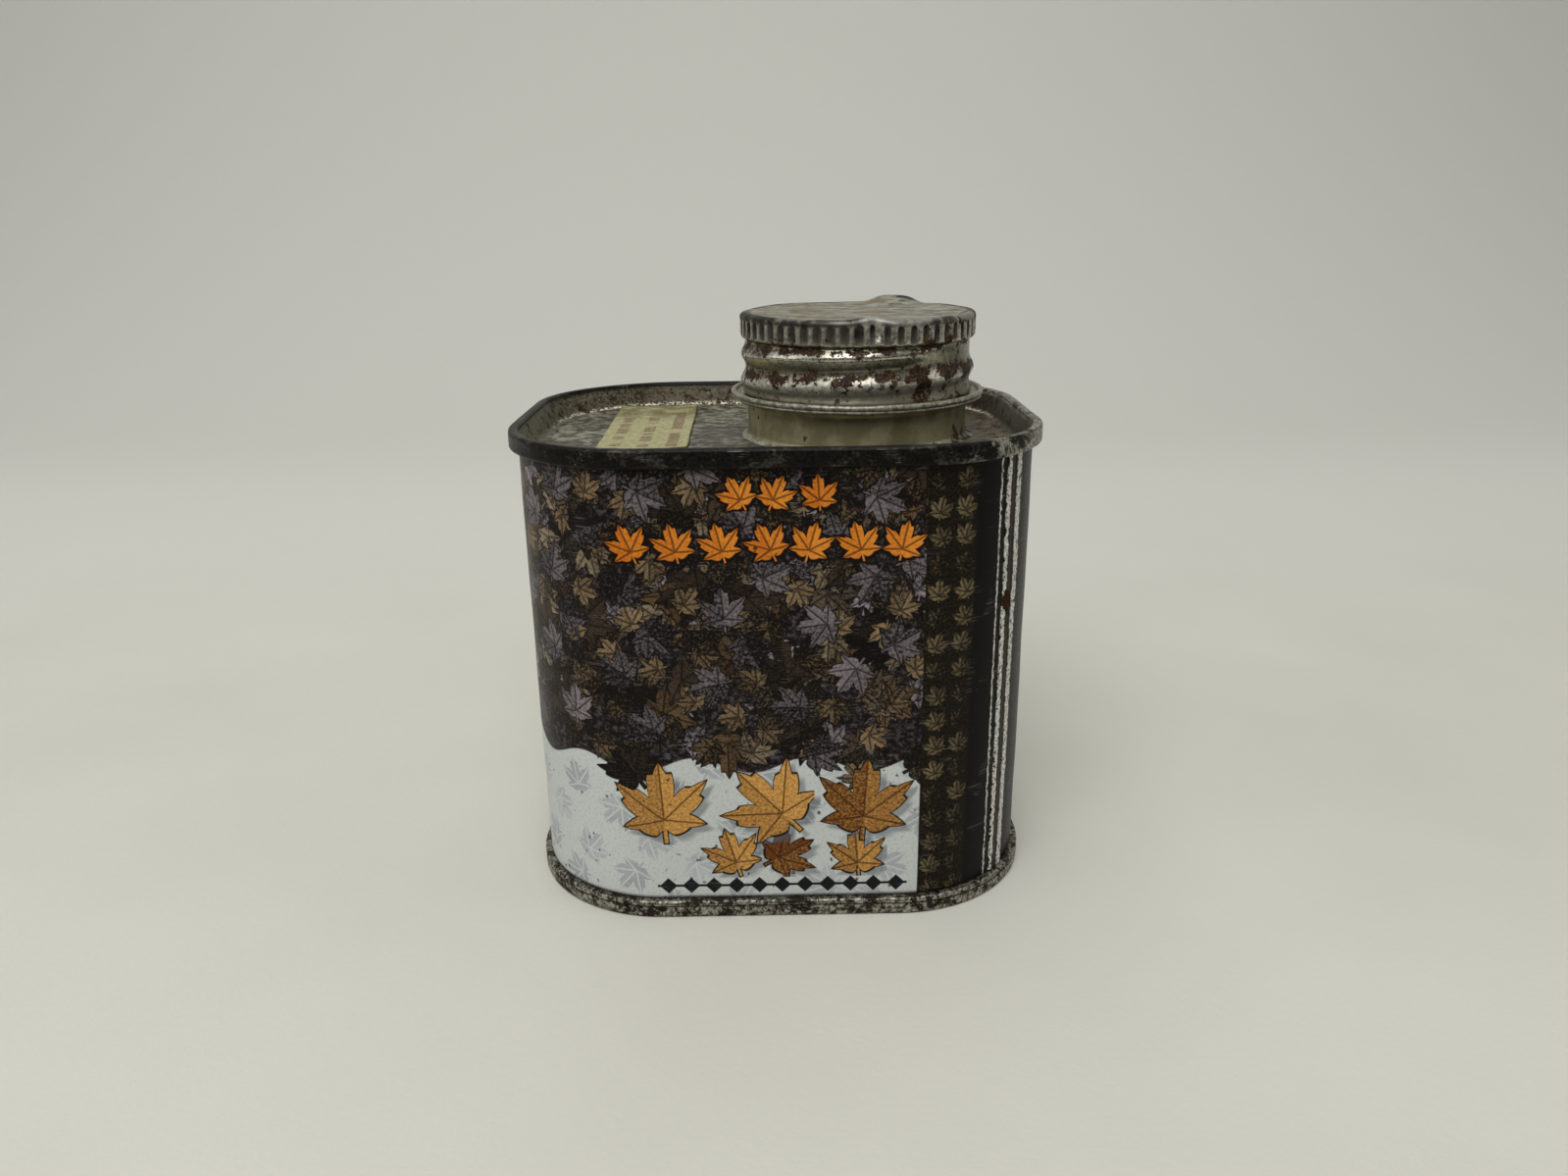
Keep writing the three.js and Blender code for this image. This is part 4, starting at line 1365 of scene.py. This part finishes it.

# %% [markdown]
# The studio is a pale sheet that lies on the table and curves up behind the tin, so there is no corner to
# see. It is a profile of distance and height, carried sideways, and it isn't part of the object. Its front
# is darkened for every ray but the camera's, so that the metal mirrors something dark, and far from the tin
# the camera sees it as a painted glow in the tone of the room, so its edges don't show.

# %% Pale sweep
SWEEP_FRONT = -900.0
SWEEP_FLAT = 330.0
SWEEP_HALF = 1500.0
SWEEP_COLUMNS = 40
sweep_cut = profile(
    [(SWEEP_FRONT, 0.0), (SWEEP_FLAT, 0.0)],
    bend((SWEEP_FLAT, 0.0), (620.0, 0.0), (700.0, 420.0), 24),
    [(720.0, 1400.0)],
    step=20.0,
)
sweep_x = np.linspace(-SWEEP_HALF, SWEEP_HALF, SWEEP_COLUMNS)[None, :]
sweep_grid = np.broadcast_arrays(sweep_x, sweep_cut[:, :1], sweep_cut[:, 1:])
sweep_points = np.stack(sweep_grid, axis=-1).reshape(-1, 3)
sweep_row = np.arange(len(sweep_cut) - 1)[:, None] * SWEEP_COLUMNS
sweep_first = sweep_row + np.arange(SWEEP_COLUMNS - 1)[None, :]
sweep_next = sweep_first + SWEEP_COLUMNS
sweep_faces = np.stack([sweep_first, sweep_first + 1, sweep_next + 1, sweep_next], axis=-1).reshape(-1, 4)
sweep_mesh = bpy.data.meshes.new("pale_sweep")
sweep_mesh.from_pydata((sweep_points * MM).tolist(), [], sweep_faces.tolist())
sweep_mesh.shade_smooth()
print("the sweep has", len(sweep_faces), "faces")

# %% Sweep finish
ROOM_TONE = paint(190, 190, 182)
NO_LIGHT = paint(0, 0, 0)
backdrop, sweep, sweep_shader = new_material("pale backdrop")
sweep_at = sweep.place()
sideways, sweep_y, _ = sweep.split(sweep_at)
tooth = sweep.noise(sweep_at, 0.9, 3.0, 0.6)
sweep_tone = sweep.blend(sweep.noise(sweep_at, 0.02, 3.0, 0.5), paint(200, 199, 188), paint(212, 211, 201))
sweep_tone = sweep.over(sweep_tone, paint(218, 218, 210), sweep.step(sweep_y, 30.0, 260.0))
watched = sweep.add("LightPath").outputs["Is Camera Ray"]
shaded_front = sweep.step(sweep_y, -150.0, -480.0)
sweep_tone = sweep.over(sweep_tone, paint(104, 103, 98), shaded_front, sweep.rest(watched))
far_aside = sweep.step(sweep.absolute(sideways), 450.0, 1100.0)
# far from the tin the camera sees the floor as a painted glow in the room's tone
far_glow = sweep.times(watched, sweep.most(far_aside, sweep.step(sweep_y, -120.0, -600.0)))
sweep_finish = {
    "Base Color": sweep.over(sweep_tone, NO_LIGHT, far_glow),
    "Roughness": 0.9,
    "Normal": sweep.bump(tooth, 0.25, 0.3),
    "Emission Color": sweep.over(NO_LIGHT, ROOM_TONE, far_glow),
    "Emission Strength": 1.0,
}
sweep.join(sweep_shader, sweep_finish)
backdrop.cycles.emission_sampling = "NONE"
sweep_mesh.materials.append(backdrop)
sweep_object = bpy.data.objects.new("pale_sweep", sweep_mesh)
bpy.context.scene.collection.objects.link(sweep_object)
print("the sweep's material has", len(sweep.tree.nodes), "nodes")

# %% [markdown]
# The light is soft: a dim world all round, which the camera sees as one plain tone, and four square lamps.
# The key lamp hangs above and in front for the gleam on the cap's thread, a wide one lights the top from
# behind, and two weak ones stand at the sides. The camera stands where the photographer's did, found from
# the tin's own edges.

# %% Light
# Each lamp has a place, a point that it faces, a size in millimetres, and its power in watts
LAMPS = {
    "key_lamp": ((-100, -430, 640), (0, 0, 40), 540, 4.0),
    "top_lamp": ((0, 250, 900), (0, 60, 0), 800, 1.9),
    "left_lamp": ((-700, -100, 420), (0, 0, 40), 500, 1.0),
    "right_lamp": ((700, -50, 380), (0, 0, 40), 400, 0.6),
}
ROOM_STRENGTH = 0.3
world = bpy.data.worlds.new("pale room")
world.use_nodes = True
room = Wiring(world.node_tree)
_, _, room_up = room.split(room.add("TexCoord").outputs["Generated"])
room_tone = room.blend(room.step(room_up, 0.0, 0.9), paint(118, 118, 115), paint(222, 222, 216))
room_light = world.node_tree.nodes["Background"]
room.join(room_light, {"Color": room_tone, "Strength": ROOM_STRENGTH})
room_seen = room.add("Background", {"Color": ROOM_TONE})
seen = room.add("LightPath").outputs["Is Camera Ray"]
room_both = room.add("MixShader", {0: seen, 1: room_light.outputs[0], 2: room_seen.outputs[0]})
room.join(world.node_tree.nodes["World Output"], {"Surface": room_both.outputs[0]})
bpy.context.scene.world = world


def soft_lamp(name, at, aim, size, watts):
    """A square lamp in millimetres that faces a point: its own -Z axis is turned along the way to it."""
    data = bpy.data.lights.new(name, "AREA")
    data.size = size * MM
    data.energy = watts
    lamp = bpy.data.objects.new(name, data)
    lamp.location = Vector(at) * MM
    lamp.rotation_euler = (Vector(aim) - Vector(at)).to_track_quat("-Z", "Y").to_euler()
    bpy.context.scene.collection.objects.link(lamp)


for lamp_name, lamp_setting in LAMPS.items():
    soft_lamp(lamp_name, *lamp_setting)
print("lamps:", ", ".join(LAMPS))

# %% Camera
CAMERA_AT = (-0.42, -171.93, 98.01)
PITCH = math.radians(18.52)
ROLL = math.radians(-0.69)
YAW = math.radians(0.47)
FOCAL_PX = 1160.5
IMAGE_WIDTH = 1599
SENSOR = 36.0
NEAREST = 0.01
camera_data = bpy.data.cameras.new("photo_camera")
camera_data.sensor_width = SENSOR
camera_data.lens = FOCAL_PX / IMAGE_WIDTH * SENSOR
camera_data.clip_start = NEAREST
camera = bpy.data.objects.new("photo_camera", camera_data)
upright = Matrix.Rotation(math.pi / 2 - PITCH, 3, "X")
turned = Matrix.Rotation(-YAW, 3, "Z") @ upright @ Matrix.Rotation(ROLL, 3, "Z")
camera.location = Vector(CAMERA_AT) * MM
camera.rotation_euler = turned.to_euler()
bpy.context.scene.collection.objects.link(camera)
bpy.context.scene.camera = camera
bpy.context.scene.view_settings.view_transform = "Standard"
print("lens", round(camera_data.lens, 2), "mm, looking", [round(part, 4) for part in -turned.col[2]])
